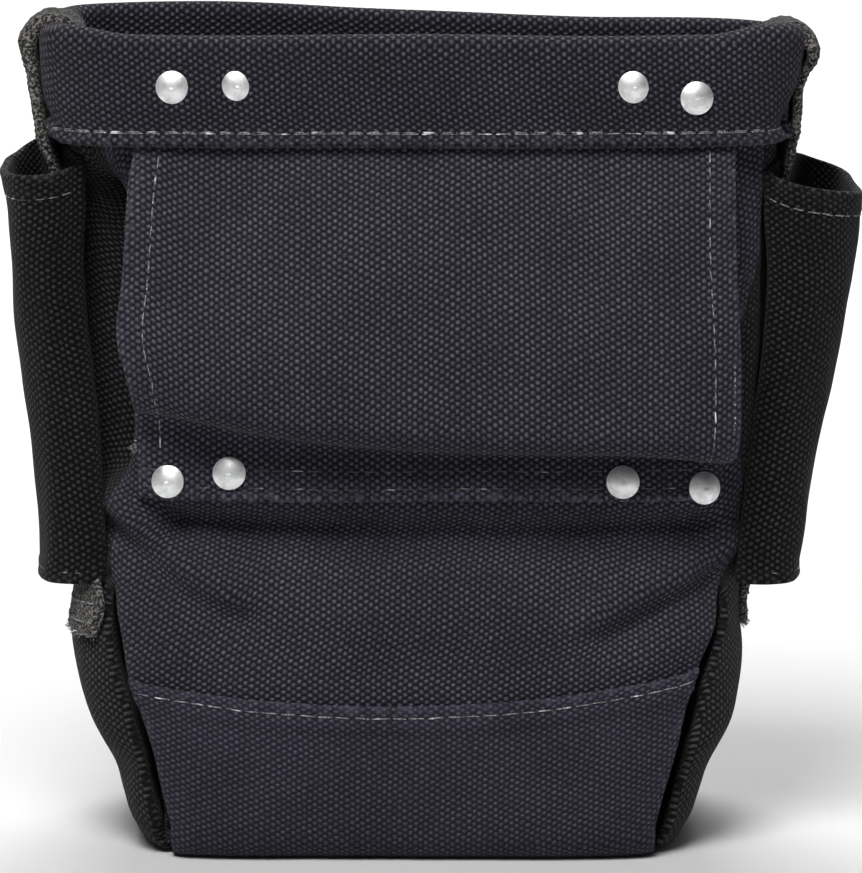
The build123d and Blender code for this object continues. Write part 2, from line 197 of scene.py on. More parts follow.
def drape(x, y, z):
    """How far the cloth stands off its plain shape: folds that hang from the corners."""
    front = smooth(-y, 5, 30)
    rear = smooth(y, 5, 30)
    low = 1 - smooth(z, 96, 108)
    folds = 2.6 * ridge(x, z, [(-92, 102), (-80, 92), (-71, 83), (-58, 76)], 4.5)
    folds -= 2.8 * ridge(x, z, [(-92, 92), (-80, 84), (-68, 75), (-52, 68)], 4.5)
    folds += 1.2 * ridge(x, z, [(-88, 70), (-70, 60)], 5.0)
    folds += 2.8 * ridge(x, z, [(86, 88), (66, 79), (42, 69)], 5.0)
    folds -= 2.6 * ridge(x, z, [(80, 79), (66, 72), (50, 64)], 4.5)
    folds += 1.6 * ridge(x, z, [(84, 66), (60, 58)], 5.0)
    folds += valley(x, z)
    folds += 1.8 * ridge(x, z, [(-50, 74), (0, 70), (30, 72)], 9.0)
    back = 2.0 * ridge(x, z, [(-80, 120), (-40, 92), (0, 84)], 9.0)
    back += 1.8 * ridge(x, z, [(78, 104), (44, 78), (10, 70)], 8.0)
    back -= 2.0 * ridge(x, z, [(-70, 88), (-30, 70), (30, 62)], 9.0)
    back -= 1.4 * ridge(x, z, [(60, 150), (20, 130), (-30, 128)], 12.0)
    place = np.stack([x, y, z], -1)
    soft = 0.55 * ripple(place, 46, 3) + 0.28 * ripple(place, 19, 4)
    # Beside the tunnel the corners sink in deep, as far up as the collar.
    band = smooth(z, 98, 122) * (1 - smooth(z, 182, 201))
    channel = -(23.0 * hump(x, -95.5, 7.5) + 19.0 * hump(x, 103.0, 5.0)) * smooth(-y, 8, 26) * band
    channel = channel - 3.2 * hump(z, 76, 22) * smooth(x, 70, 88)
    return front * low * folds + rear * back + soft * (1 - smooth(z, 196, 214) * 0.75) + channel


def shell(theta, z, off, draped=1.0):
    """Points of the shell at theta and z, moved out by off, in mm."""
    theta, z, off = np.broadcast_arrays(*(np.asarray(v, float) for v in (theta, z, off)))
    x, y = ring(theta, z)
    x0, y0 = ring(theta - 0.5, z)
    x1, y1 = ring(theta + 0.5, z)
    long = np.hypot(x1 - x0, y1 - y0)
    out = off + draped * drape(x, y, z)
    x, y = x + out * (y1 - y0) / long, y - out * (x1 - x0) / long
    return np.stack([x, y, z * (1 + TILT * y)], -1)


def angle_of(edge, z):
    return float(edge(z)) if callable(edge) else float(edge)


def ring_length(start, end, z):
    theta = np.linspace(angle_of(start, z), angle_of(end, z), 121)
    x, y = ring(theta, np.full_like(theta, z))
    return float(np.hypot(np.diff(x), np.diff(y)).sum())


def among_levels(z, count):
    """Even levels that span z, where each z lies among them, and the level below it."""
    levels = np.linspace(z.min(), z.max() + 1e-6, count)
    place = (z - levels[0]) / (levels[1] - levels[0])
    return levels, place, np.clip(place.astype(int), 0, count - 2)


def along_ring(start, end, arc, z):
    """The angle at a distance arc round the shell from start, for each arc and z.
    Distances past the ends go on beyond them."""
    arc, z = np.broadcast_arrays(np.asarray(arc, float), np.asarray(z, float))
    levels, place, k = among_levels(z, 36)
    share = place - k
    low, high = np.empty(arc.shape), np.empty(arc.shape)
    for i, level in enumerate(levels):
        first, last = angle_of(start, level), angle_of(end, level)
        theta = np.linspace(first - 8, last + 8, 241)
        run = running(np.stack(ring(theta, np.full_like(theta, level)), 1), 0)
        run -= np.interp(first, theta, run)
        low[k == i] = np.interp(arc[k == i], run, theta)
        high[k == i - 1] = np.interp(arc[k == i - 1], run, theta)
    return low + (high - low) * share


def front_angle(x, z):
    """The angle on the front of the shell where it has this x."""
    x, z = np.broadcast_arrays(np.asarray(x, float), np.asarray(z, float))
    theta = np.linspace(186, 354, 337)
    levels, place, k = among_levels(z, 30)
    tables = [ring(theta, np.full_like(theta, level))[0] for level in levels]
    out = np.empty(x.shape)
    for level in range(len(levels) - 1):
        mine = k == level
        if mine.any():
            low = np.interp(x[mine], tables[level], theta)
            high = np.interp(x[mine], tables[level + 1], theta)
            out[mine] = low + (high - low) * (place[mine] - level)
    return out


def side_reach(side, y, z):
    """How far the shell reaches to one side at y and z."""
    left, right, front, rear, square = row_at(z)
    share = np.clip(np.abs(y) / np.where(y > 0, rear, front), 0, 0.999)
    return (right if side > 0 else left) * (1 - share**square) ** (1 / square)


# Where the front panel's side edges are, as x at each height. The rear's lie at CORNER.
CORNER = 42.0
LEFT_EDGE = (
    [0, 9, 20, 37, 52, 66, 82, 100, 124, 168, 194, 240],
    [73, 74.6, 77.4, 81.5, 86.8, 89.5, 91.5, 89.5, 84, 84, 90, 90],
)
RIGHT_EDGE = (
    [0, 12, 31, 48, 54, 64, 80, 100, 122, 150, 172, 240],
    [61.5, 65.3, 70.8, 75.3, 77.5, 82.0, 86.0, 88.5, 85, 85.5, 91.5, 90],
)


def corner_angle(x, level):
    theta = np.linspace(200, 340, 561)
    return np.interp(x, ring(theta, np.full_like(theta, level))[0], theta)


def front_start(z):
    return corner_angle(-curve(*LEFT_EDGE, z), z)


def front_end(z):
    return corner_angle(curve(*RIGHT_EDGE, z), z)


def front_end_turned(z):
    return front_end(z) - 360


# Meshes

def spaced(length, step, half):
    """Distances along a strip, close together at its two rounded edges."""
    edge = half * np.array([0, 0.1, 0.35, 0.75, 1.2])
    count = max(2, int((length - 2 * edge[-1]) / step) + 1)
    middle = np.linspace(edge[-1], length - edge[-1], count)
    return np.concatenate([edge[:-1], middle, length - edge[-2::-1]])


def normals(points, wrap):
    if wrap:
        du = np.roll(points, -1, 0) - np.roll(points, 1, 0)
    else:
        du = np.gradient(points, axis=0)
    dv = np.gradient(points, axis=1)
    n = np.cross(du, dv)
    return n / np.maximum(np.linalg.norm(n, axis=-1, keepdims=True), 1e-9)


def round_off(distance, half):
    return np.sqrt(np.clip(1 - (1 - np.clip(distance / half, 0, 1)) ** 2, 0, 1))


def new_object(name, verts, faces, uvs=None, edge_sheen_and_wear=None):
    mesh = bpy.data.meshes.new(name)
    mesh.from_pydata([tuple(v) for v in np.asarray(verts) * MM], [], [tuple(f) for f in faces])
    if uvs is not None:
        layer = mesh.uv_layers.new(name="weave")
        layer.data.foreach_set("uv", np.asarray(uvs, np.float32).ravel())
    if edge_sheen_and_wear is not None:
        worn = mesh.attributes.new("edge_sheen_and_wear", "FLOAT", "POINT")
        worn.data.foreach_set("value", np.asarray(edge_sheen_and_wear, np.float32))
    mesh.polygons.foreach_set("use_smooth", [True] * len(mesh.polygons))
    mesh.validate()
    mesh.update()
    made = bpy.data.objects.new(name, mesh)
    bpy.context.scene.collection.objects.link(made)
    return made


def cloth(name, mid, half=CANVAS / 2, relief=0.0, wrap=False, worn=0.0, close=1.0):
    """A closed sheet round a grid of points, whose edges are rounded. relief moves its
    outer face alone, worn adds fraying to the edges' lighter rim (painted sheen with
    some lint), and close packs its yarns."""
    nu, nv = mid.shape[:2]
    half = np.broadcast_to(np.asarray(half, float), (nu, nv))
    ahead = running(mid, 1)
    edge_v = np.minimum(ahead, ahead[:, -1:] - ahead)
    across = running(np.concatenate([mid, mid[:1]], 0) if wrap else mid, 0)
    if wrap:
        edge = edge_v
        taper = round_off(edge_v, half)
    else:
        edge_u = np.minimum(across, across[-1:] - across)
        edge = np.minimum(edge_v, edge_u)
        taper = round_off(edge_v, half) * round_off(edge_u, half)
    n = normals(mid, wrap)
    outer = mid + n * ((half + relief) * taper)[..., None]
    inner = mid - n * (half * taper)[..., None]
    u = across - across[across.shape[0] // 2][None]
    cols = np.arange(nu if wrap else nu - 1)
    i, j = np.meshgrid(cols, np.arange(nv - 1), indexing="ij")
    i, j = i.ravel(), j.ravel()
    i1 = (i + 1) % nu
    border = np.zeros((nu, nv), bool)
    border[:, [0, -1]] = True
    if not wrap:
        border[[0, -1], :] = True
    index_out = np.arange(nu * nv).reshape(nu, nv)
    index_in = index_out.copy()
    index_in[~border] = nu * nv + np.arange((~border).sum())
    verts = np.concatenate([outer.reshape(-1, 3), inner[~border]])
    # A lighter rim near each edge: painted sheen of the grazing edges with some lint; worn adds real
    # fraying.
    edge_sheen_and_wear = np.maximum(np.exp(-edge / 2.2), worn)
    edge_sheen_and_wear_per_vert = np.concatenate([edge_sheen_and_wear.ravel(), edge_sheen_and_wear[~border]])
    quads = np.stack([index_out[i, j], index_out[i1, j], index_out[i1, j + 1], index_out[i, j + 1]], 1)
    backs = np.stack([index_in[i, j], index_in[i, j + 1], index_in[i1, j + 1], index_in[i1, j]], 1)
    ucol = i + 1
    vcol = ahead if not wrap else np.concatenate([ahead, ahead[:1]], 0)
    places = np.stack([u, vcol], -1)
    uv_out = np.stack([places[i, j], places[ucol, j], places[ucol, j + 1], places[i, j + 1]], 1)
    uv_in = uv_out[:, [0, 3, 2, 1]]
    uvs = np.concatenate([uv_out, uv_in]).reshape(-1, 2) * (1.0, close)
    made = new_object(name, verts, np.concatenate([quads, backs]), uvs, edge_sheen_and_wear_per_vert)
    made["flat_mm"] = [float(across[-1].mean()), float(ahead[:, -1].mean())]
    return made


def dress(piece, material, slot, *stands_for):
    piece.data.materials.append(material)
    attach(piece, "root")
    if stands_for:
        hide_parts(*stands_for)
    return piece


# Materials

class Net:
    def __init__(self, name):
        self.material = bpy.data.materials.new(name)
        self.material.use_nodes = True
        self.tree = self.material.node_tree
        self.shader = self.tree.nodes["Principled BSDF"]

    def node(self, kind, inputs=None, **props):
        made = self.tree.nodes.new("ShaderNode" + kind)
        for key, value in props.items():
            setattr(made, key, value)
        for key, value in (inputs or {}).items():
            if isinstance(value, bpy.types.NodeSocket):
                self.tree.links.new(value, made.inputs[key])
            else:
                made.inputs[key].default_value = value
        return made

    def math(self, operation, a, b=0.0):
        return self.node("Math", {0: a, 1: b}, operation=operation).outputs[0]

    def remap(self, value, low, high, to_low=0.0, to_high=1.0):
        return self.node(
            "MapRange",
            {"Value": value, "From Min": low, "From Max": high, "To Min": to_low, "To Max": to_high},
            interpolation_type="SMOOTHSTEP",
        ).outputs[0]

    def mix(self, share, a, b, blend="MIX"):
        made = self.node("Mix", data_type="RGBA", blend_type=blend)
        for key, value in ((0, share), (6, a), (7, b)):
            if isinstance(value, bpy.types.NodeSocket):
                self.tree.links.new(value, made.inputs[key])
            else:
                made.inputs[key].default_value = value if key == 0 else (*value, 1)
        return made.outputs[2]

    def noise(self, scale, detail=2.0):
        where = self.node("TexCoord").outputs["Object"]
        return self.node("TexNoise", {"Vector": where, "Scale": scale, "Detail": detail}).outputs[0]

    def finish(self, colour, roughness, height=None, distance=0.0, strength=1.0):
        links = self.tree.links
        links.new(colour, self.shader.inputs["Base Color"])
        links.new(roughness, self.shader.inputs["Roughness"])
        if height is not None:
            made = self.node("Bump", {"Height": height, "Distance": distance, "Strength": strength})
            links.new(made.outputs[0], self.shader.inputs["Normal"])
        return self.material


def canvas_material(name, gap, base, crown, sheen=0.05):
    """Duck weave: pale crowns of yarn in staggered rows on dark cloth."""
    net = Net(name)
    split = net.node("SeparateXYZ", {0: net.node("UVMap", uv_map="weave").outputs[0]})
    u = net.math("ADD", split.outputs[0], net.remap(net.noise(210, 1.0), 0.3, 0.7, -0.18, 0.18))
    v = net.math("ADD", split.outputs[1], net.remap(net.noise(290, 1.0), 0.3, 0.7, -0.14, 0.14))
    cu = net.math("COSINE", net.math("MULTIPLY", u, math.pi / WEAVE_U))
    cv = net.math("COSINE", net.math("MULTIPLY", v, math.pi / WEAVE_V))
    weave = net.math("MULTIPLY", cu, cv)
    narrow = net.math("MULTIPLY", net.math("SUBTRACT", 1.0, net.math("MULTIPLY", cu, cu)), 0.75)
    weave = net.math("SUBTRACT", weave, narrow)
    yarn = net.remap(net.noise(820, 1.0), 0.3, 0.72, 0.35, 1.15)
    dots = net.math("MULTIPLY", net.remap(weave, -0.56, 0.56), yarn)
    gaps = net.remap(weave, -0.35, -1.05)
    patches = net.remap(net.noise(34, 3.0), 0.32, 0.68, 0.88, 1.12)
    fuzz = net.remap(net.noise(2600, 2.0), 0.35, 0.7, 0.86, 1.16)
    colour = net.mix(gaps, base, gap)
    colour = net.mix(dots, colour, crown)
    # A lighter rim along the edges: painted sheen of the grazing edges with some lint.
    worn = net.node("Attribute", attribute_name="edge_sheen_and_wear").outputs["Fac"]
    edge_sheen_lint = net.math("MULTIPLY", worn, net.remap(net.noise(420, 2.0), 0.4, 0.75, 0.0, 0.55))
    colour = net.mix(edge_sheen_lint, colour, tuple(1.25 * x for x in crown))
    shade = net.node("CombineColor", {0: patches, 1: patches, 2: patches}).outputs[0]
    colour = net.mix(1.0, colour, shade, "MULTIPLY")
    fine = net.node("CombineColor", {0: fuzz, 1: fuzz, 2: fuzz}).outputs[0]
    colour = net.mix(1.0, colour, fine, "MULTIPLY")
    height = net.math("ADD", net.remap(weave, -0.9, 0.9), net.math("MULTIPLY", fuzz, 0.18))
    rough = net.remap(dots, 0.0, 1.0, 0.96, 0.82)
    net.shader.inputs["Sheen Weight"].default_value = sheen
    net.shader.inputs["Sheen Roughness"].default_value = 0.55
    net.shader.inputs["Specular IOR Level"].default_value = 0.12
    return net.finish(colour, rough, height, 0.0006, 0.9)


def webbing_material(name):
    """Coarse knitted-looking webbing: slanted plies across its width."""
    net = Net(name)
    split = net.node("SeparateXYZ", {0: net.node("UVMap", uv_map="weave").outputs[0]})
    shift = net.remap(net.noise(420, 2.0), 0.3, 0.7, -0.4, 0.4)
    u = net.math("ADD", split.outputs[0], shift)
    v = net.math("ADD", split.outputs[1], shift)
    rib = net.math("SINE", net.math("MULTIPLY", u, 2 * math.pi / RIB))
    slant = net.math("MULTIPLY", net.math("SIGN", rib), net.math("MULTIPLY", u, 0.8))
    ply = net.math("SINE", net.math("MULTIPLY", net.math("ADD", v, slant), 2 * math.pi / 1.5))
    weave = net.math("MULTIPLY", net.math("ABSOLUTE", rib), net.remap(ply, -1.0, 1.0, 0.2, 1.0))
    speck = net.remap(net.noise(900, 3.0), 0.52, 0.74)
    colour = net.mix(net.remap(weave, 0.1, 0.9), (0.0035, 0.0031, 0.0028), (0.024, 0.0218, 0.0195))
    colour = net.mix(net.math("MULTIPLY", speck, 0.3), colour, (0.11, 0.10, 0.092))
    # Pale along its edges (painted sheen with some lint, from the edge rim) and frayed at its ends.
    worn = net.node("Attribute", attribute_name="edge_sheen_and_wear").outputs["Fac"]
    frayed = net.math("MULTIPLY", worn, net.remap(net.noise(1300, 2.0), 0.45, 0.62))
    colour = net.mix(net.math("MULTIPLY", frayed, 0.8), colour, (0.26, 0.245, 0.23))
    height = net.math("ADD", weave, net.math("MULTIPLY", speck, 0.4))
    net.shader.inputs["Sheen Weight"].default_value = 0.12
    net.shader.inputs["Specular IOR Level"].default_value = 0.25
    return net.finish(colour, net.remap(weave, 0.0, 1.0, 0.95, 0.8), height, 0.0006, 0.9)


def thread_material(name, dark, pale, bright):
    net = Net(name)
    twist = net.noise(1500, 2.0)
    colour = net.mix(net.remap(twist, 0.35, 0.68), dark, pale)
    colour = net.mix(net.remap(net.noise(230, 1.0), 0.60, 0.68), colour, bright)
    return net.finish(colour, net.remap(twist, 0.3, 0.7, 0.8, 0.55), twist, 0.0001, 0.6)


def metal_material(name, tint, low, high):
    """Aluminium with small scuffs and dull patches."""
    net = Net(name)
    cloud = net.noise(330, 3.0)
    scuff = net.remap(net.noise(1900, 4.0), 0.58, 0.7)
    colour = net.mix(net.remap(cloud, 0.35, 0.7), tint, tuple(0.78 * x for x in tint))
    colour = net.mix(net.math("MULTIPLY", scuff, 0.45), colour, tuple(0.45 * x for x in tint))
    rough = net.math("ADD", net.remap(cloud, 0.3, 0.7, low, high), net.math("MULTIPLY", scuff, 0.2))
    net.shader.inputs["Metallic"].default_value = 1.0
    height = net.math("SUBTRACT", cloud, net.math("MULTIPLY", scuff, 0.25))
    return net.finish(colour, rough, height, 0.00012, 0.5)


# Each canvas has the colours of its gaps, its yarn and the yarn's crowns.
CLOTH = canvas_material(
    "canvas_front", (0.0086, 0.0077, 0.0112), (0.0315, 0.0282, 0.0395), (0.112, 0.101, 0.139))
CLOTH_BOOT = canvas_material(
    "canvas_boot", (0.0135, 0.0120, 0.0180), (0.0325, 0.0286, 0.0430), (0.088, 0.079, 0.116))
# Darker copy of the front canvas for the collar: painted shade on the collar.
CLOTH_COLLAR = canvas_material(
    "canvas_collar_painted_shade", (0.0050, 0.0047, 0.0066), (0.0200, 0.0183, 0.0255), (0.088, 0.082, 0.108))
# Darker copy of the canvas for the side walls and bottom: painted shade, as the sides turn away from the
# light.
SHADED = canvas_material(
    "canvas_side_painted_shade", (0.0030, 0.0028, 0.0032), (0.0120, 0.0112, 0.0125), (0.064, 0.060, 0.066))
# Darkest copy of the canvas for the sleeves: painted shade on the sleeves.
SLEEVE = canvas_material(
    "canvas_sleeve_painted_shade", (0.0008, 0.0008, 0.0008), (0.0040, 0.0037, 0.0041), (0.044, 0.040, 0.044))
WEB = webbing_material("webbing_coarse")
THREAD = thread_material(
    "thread_waxed", (0.07, 0.068, 0.072), (0.34, 0.33, 0.35), (0.80, 0.79, 0.82))
DARK_THREAD = thread_material(
    "thread_dark", (0.02, 0.019, 0.021), (0.10, 0.097, 0.10), (0.30, 0.29, 0.30))
BRIGHT = metal_material("aluminium_bright", (0.96, 0.965, 0.97), 0.40, 0.60)
DULL = metal_material("aluminium_dull", (0.70, 0.71, 0.72), 0.36, 0.5)


# Walls

CREASE_HEAD, CREASE_FULL = 86.0, 60.0   # the crease beside the boot opens between these
ROUND = 7.0                             # radius of the bottom edge
WALL_FOOT = 4.7
WALL_TOP = HEIGHT - CANVAS - GAP


def creased(z):
    """How deep the groove at a lower corner is: 0 for none, 1 for full."""
    return 1 - smooth(z, CREASE_FULL, CREASE_HEAD)


def gusset_rows(high):
    """Heights and insets of a gusset: in under the bag, round its bottom edge and up."""
    low = 1.0 + ROUND
    turns = np.radians(np.linspace(90, 0, 9))[:-1]
    rows = [(1.0, ROUND + d) for d in (9.0, 8.4, 6.0, 3.0)]
    rows += [(1.0 + ROUND * (1 - math.sin(t)), ROUND * (1 - math.cos(t))) for t in turns]
    up = low + np.delete(spaced(high - low, 2.0, CANVAS / 2), [1, 2])
    rows += [(z, 0.0) for z in up]
    return np.array(rows).T


def foot_inset(z):
    low = np.clip(ROUND - (z - 1.0), 0, ROUND)
    return ROUND - np.sqrt(ROUND**2 - low**2)


def panel_wall(name, start, end):
    """The front or rear wall. Its side edges turn in at the lower corners."""
    z = WALL_FOOT + spaced(WALL_TOP - WALL_FOOT, 2.0, CANVAS / 2)
    lip = np.array([0, 0.15, 0.5, 0.9, 1.6, 2.4, 3.2, 4.0, 4.8, 5.6, 6.4, 7.2])
    body = np.linspace(0, 1, 100)[1:-1]
    columns = [("left", d) for d in lip]
    columns += [("body", share) for share in body]
    columns += [("right", d) for d in lip[::-1]]
    nominal = np.array([ring_length(start, end, level) for level in z])
    arc = np.zeros((len(columns), len(z)))
    off = np.full((len(columns), len(z)), -CANVAS / 2)
    turn = creased(z)
    bend = 3.0
    for i, (side, value) in enumerate(columns):
        if side == "body":
            arc[i] = 3.6 + value * (nominal - 7.2)
            continue
        back = 7.2 - value              # how far along the lip, from where it begins
        quarter = bend * math.pi / 2
        if back < quarter:
            bent = (bend * math.sin(back / bend), bend * (1 - math.cos(back / bend)))
        else:
            bent = (bend, bend + back - quarter)
        run = 3.6 - (back + (bent[0] - back) * turn)
        arc[i] = run if side == "left" else nominal - run
        off[i] -= bent[1] * turn * 0.9
    grid_z = np.broadcast_to(z, arc.shape)
    theta = along_ring(start, end, arc, grid_z)
    return cloth(name, shell(theta, grid_z, off - foot_inset(grid_z)))


def gusset(name, start, end, swell):
    """A side wall. It dips behind the panels' edges and rolls out between them."""
    z, inset = gusset_rows(WALL_TOP)
    rim = spaced(1.0, 1.0, 0.006)[:4]
    share = np.concatenate([rim, np.linspace(0.009, 0.1, 19), np.linspace(0.115, 0.5, 20)])
    share = np.concatenate([share, 1 - share[-2::-1]])
    nominal = np.array([ring_length(start, end, max(level, 6)) for level in z])
    arc = share[:, None] * nominal[None]
    grid_z = np.broadcast_to(z, arc.shape)
    theta = along_ring(start, end, arc, grid_z)
    edge = np.minimum(arc, nominal[None] - arc)
    open_by = 0.8 + 1.7 * creased(grid_z) + 1.0 * (1 - smooth(grid_z, 14, 40))
    depth = 2.4 + 15.0 * creased(grid_z) * smooth(grid_z, 2, 16)
    sink = depth * (1 - smooth(edge, open_by, open_by + 1.9))
    off = np.full(arc.shape, -CANVAS / 2)
    off = off + swell * hump(grid_z, 68, 14) * smooth(edge, 6, 22)
    place = np.stack([arc, np.zeros_like(arc), grid_z], -1)
    off = off + 0.5 * ripple(place, 24, 11) * creased(grid_z)
    off = off - 1.6 * hump(grid_z, 26, 7) * hump(edge, 16, 10)
    mid = shell(theta, np.maximum(grid_z, 0), off - inset[None])
    mid[..., 1] -= np.sign(mid[..., 1]) * sink
    return cloth(name, mid)


dress(panel_wall("canvas_front_panel", front_start, front_end), CLOTH, "canvas", "front_panel")
dress(panel_wall("canvas_rear_panel", CORNER, 180 - CORNER), CLOTH, "canvas", "rear_panel")
# The gussets take the darker canvas copy: painted shade on the sides.
dress(gusset("canvas_left_gusset", 180 - CORNER, front_start, 3.4), SHADED, "canvas", "left_gusset")
dress(gusset("canvas_right_gusset", front_end_turned, CORNER, 0.0), SHADED, "canvas", "right_gusset")


# Bottom

def build_bottom():
    """The inner bottom, cut to the bag's outline: a square grid drawn out to it."""
    gx, gy = np.meshgrid(np.linspace(-1, 1, 90), np.linspace(-1, 1, 70), indexing="ij")
    theta = np.degrees(np.arctan2(gy, gx))
    square = np.maximum(np.abs(gx), np.abs(gy))
    grid = shell(theta, 6.0, -3.6, 0.0) * square[..., None]
    grid[..., 2] = 3.35 + 0.3 * ripple(grid * np.array([1, 1, 0]), 42, 8) * (1 - square**4)
    # The bottom takes the darker canvas copy: painted shade.
    dress(cloth("canvas_bottom_panel", grid), SHADED, "canvas", "bottom_panel")


build_bottom()


# Boot

BOOT_DIP = 8.0
BOOT_INSET = 1.6    # the boot's side edges stop short of the corners
BOOT_BEND = 9.0     # where its legs start to turn under


def boot_leg(front, share):
    """The lines of the boot's front or rear leg, from its bend at the foot to its hem."""
    start, end = (front_start, front_end) if front else (CORNER, 180 - CORNER)
    top = BOOT_TOP - BOOT_DIP * np.cos((share * 2 - 1) * math.pi / 2).clip(0, 1) ** 0.8
    top = top + 1.3 * (share * 2 - 1) * front
    rise = spaced(1.0, 0.035, 0.02)
    rise = rise / rise[-1]
    z = BOOT_BEND + (top[:, None] - BOOT_BEND) * rise[None]
    levels = np.linspace(0, 60, 25)
    nominal = np.interp(z, levels, [ring_length(start, end, max(level, 6)) for level in levels])
    run = (share if front else 1 - share)[:, None]
    arc = BOOT_INSET + run * (nominal - 2 * BOOT_INSET)
    edge = np.minimum(arc, nominal - arc)
    curl = 1.2 * (1 - smooth(edge, 0, 6)) * creased(z)
    leg = shell(along_ring(start, end, arc, z), z, GAP + CANVAS / 2 - curl)
    return list(leg[:, 4:].swapaxes(0, 1))


def boot_foot(line, inward):
    """Lines that carry a leg's lowest line round the bag's bottom edge."""
    radius = BOOT_BEND - 1.0
    made = []
    for turn in np.radians(np.linspace(0, 90, 8))[1:]:
        moved = line.copy()
        moved[:, 1] += inward * radius * (1 - np.cos(turn))
        moved[:, 2] = BOOT_BEND - radius * np.sin(turn)
        made.append(moved)
    return made


def build_boot():
    """One strip: down the front, under the bag and up the rear, hemmed at both ends."""
    share = spaced(1.0, 0.0115, 0.0065)
    share = share / share[-1]
    front, rear = boot_leg(True, share), boot_leg(False, share)
    front_foot, rear_foot = boot_foot(front[0], 1), boot_foot(rear[0], -1)
    under = []
    for s in np.linspace(0, 1, 46)[1:-1]:
        line = front_foot[-1] * (1 - s) + rear_foot[-1] * s
        line[:, 2] = 1.0
        under.append(line)
    mid = np.stack(front[::-1] + front_foot + under + rear_foot[::-1] + rear, 1)
    ahead = running(mid, 1)
    edge = np.minimum(ahead, ahead[:, -1:] - ahead)
    hem = 1 - smooth(edge, 6.5, 9.0)
    relief = 0.9 * hem * (1 - 0.8 * hump(edge, 0, 1.2)) - 0.75 * hump(edge, BOOT_SEAM, 0.9)
    mid, relief = mid[::-1], relief[::-1]
    piece = cloth("canvas_bottom_boot", mid, CANVAS / 2 - 0.05, relief, close=1.09)
    dress(piece, CLOTH_BOOT, "canvas", "bottom_boot")
    return mid, CANVAS / 2 - 0.05 + relief


BOOT_MID, BOOT_LIFT = build_boot()


# Collar

FLARE = {"left": (0.8, 1.2), "right": (2.2, 6.0)}     # out at the rim, in at the foot


def collar_path(outer, inner, foot, top, inner_foot):
    """Heights and offsets of the folded band, from its outer edge over the rim."""
    radius = (outer - inner) / 2
    arc_foot = top - CANVAS / 2 - radius
    up = foot + spaced(arc_foot - foot, 1.5, CANVAS / 2)[:-4]
    over = np.radians(np.linspace(0, 180, 15))[1:-1]
    down = arc_foot - spaced(arc_foot - inner_foot, 2.0, CANVAS / 2)[4:]
    z = np.concatenate([up, arc_foot + radius * np.sin(over), down])
    off = np.concatenate([
        np.full(len(up), outer),
        (outer + inner) / 2 + radius * np.cos(over),
        np.full(len(down), inner),
    ])
    outside = np.concatenate([np.ones(len(up)), smooth(np.cos(over), -1, 1), np.zeros(len(down))])
    return z, off, outside


def build_collar(name, start, end, outer, node, front):
    inner = -CANVAS - GAP - CANVAS / 2
    z, off, outside = collar_path(outer, inner, COLLAR_FOOT, HEIGHT, COLLAR_FOOT)
    length = ring_length(start, end, 220)
    arc = spaced(length, 1.9, CANVAS / 2)
    grid_arc, grid_z = np.meshgrid(arc, z, indexing="ij")
    theta = along_ring(start, end, grid_arc, np.clip(grid_z, 200, 236))
    edge_left, edge_right = grid_arc, length - grid_arc
    if not front:
        edge_left, edge_right = edge_right, edge_left
    high = smooth(grid_z, 208, 236)
    off = np.broadcast_to(off, grid_z.shape).copy()
    rise = np.zeros_like(grid_z)
    if front:
        low = 1 - smooth(grid_z, 203, 222)
        for edge, (out_by, in_by) in ((edge_left, FLARE["left"]), (edge_right, FLARE["right"])):
            off += out_by * (1 - smooth(edge, 0, 16)) * high * outside
            off -= in_by * (1 - smooth(edge, 0, 13)) * low * outside
        rise += 1.9 * (1 - smooth(edge_left, 8, 26)) * high
        rise += 2.4 * (1 - smooth(edge_right, 10, 26)) * high
        rise += 4.4 * np.clip(1 - edge_left / 6.5, 0, 1) * (1 - smooth(grid_z, 203, 214)) * outside
        rise += 1.6 * np.clip(1 - edge_right / 5, 0, 1) * (1 - smooth(grid_z, 203, 212)) * outside
    else:
        rise += (3.0 - 5.6 * smooth(edge_left / length, 0.1, 0.9)) * high
    place = np.stack([grid_arc, np.zeros_like(grid_arc), grid_z], -1)
    rise += 0.5 * ripple(place * np.array([1, 1, 0.2]), 60, 21 + front) * high
    puff = 0.7 * hump(grid_z, 222, 10) * ripple(place, 30, 31 + front) * outside
    seam = hump(grid_z, COLLAR_FOOT + 3.6, 0.8) * outside
    roll = hump(grid_z, COLLAR_FOOT + 1.6, 1.5) * outside
    off += puff + 0.45 * hump(grid_z, 218, 9) * outside
    off += 0.9 * (1 - smooth(grid_z, COLLAR_FOOT, COLLAR_FOOT + 8)) * outside
    mid = shell(theta, grid_z, off, 1.0)
    mid[..., 2] += rise
    hem = (1 - smooth(grid_z, COLLAR_FOOT + 3.2, COLLAR_FOOT + 4.6)) * outside
    relief = 0.5 * roll + 1.2 * hem - 1.2 * seam + 0.25 * outside * smooth(grid_z, 209, 215)
    half = CANVAS / 2 + 0.35 * outside
    piece = cloth(name, mid, half, relief)
    # The collar takes the darker canvas copy: painted shade.
    dress(piece, CLOTH_COLLAR, "canvas", node)
    return mid, half + relief


OVER_WALL = GAP + CANVAS
OVER_TUNNEL = OVER_WALL + 0.8 + CANVAS
SPLIT = 28.0
FRONT_COLLAR = build_collar("canvas_front_collar", 180 + SPLIT + 0.4, 360 - SPLIT - 0.4,
                            OVER_TUNNEL - CANVAS / 2 - 0.3, "front_collar", True)
REAR_COLLAR = build_collar("canvas_rear_collar", -SPLIT + 0.4, 180 + SPLIT - 0.4,
                           OVER_WALL - CANVAS / 2, "rear_collar", False)


# Belt tunnel

TUNNEL_FOOT, TUNNEL_HEAD = (corner.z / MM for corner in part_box("belt_tunnel"))
FOOT_ROWS = (104.9, 109.9)      # heights of the two rows of stitches

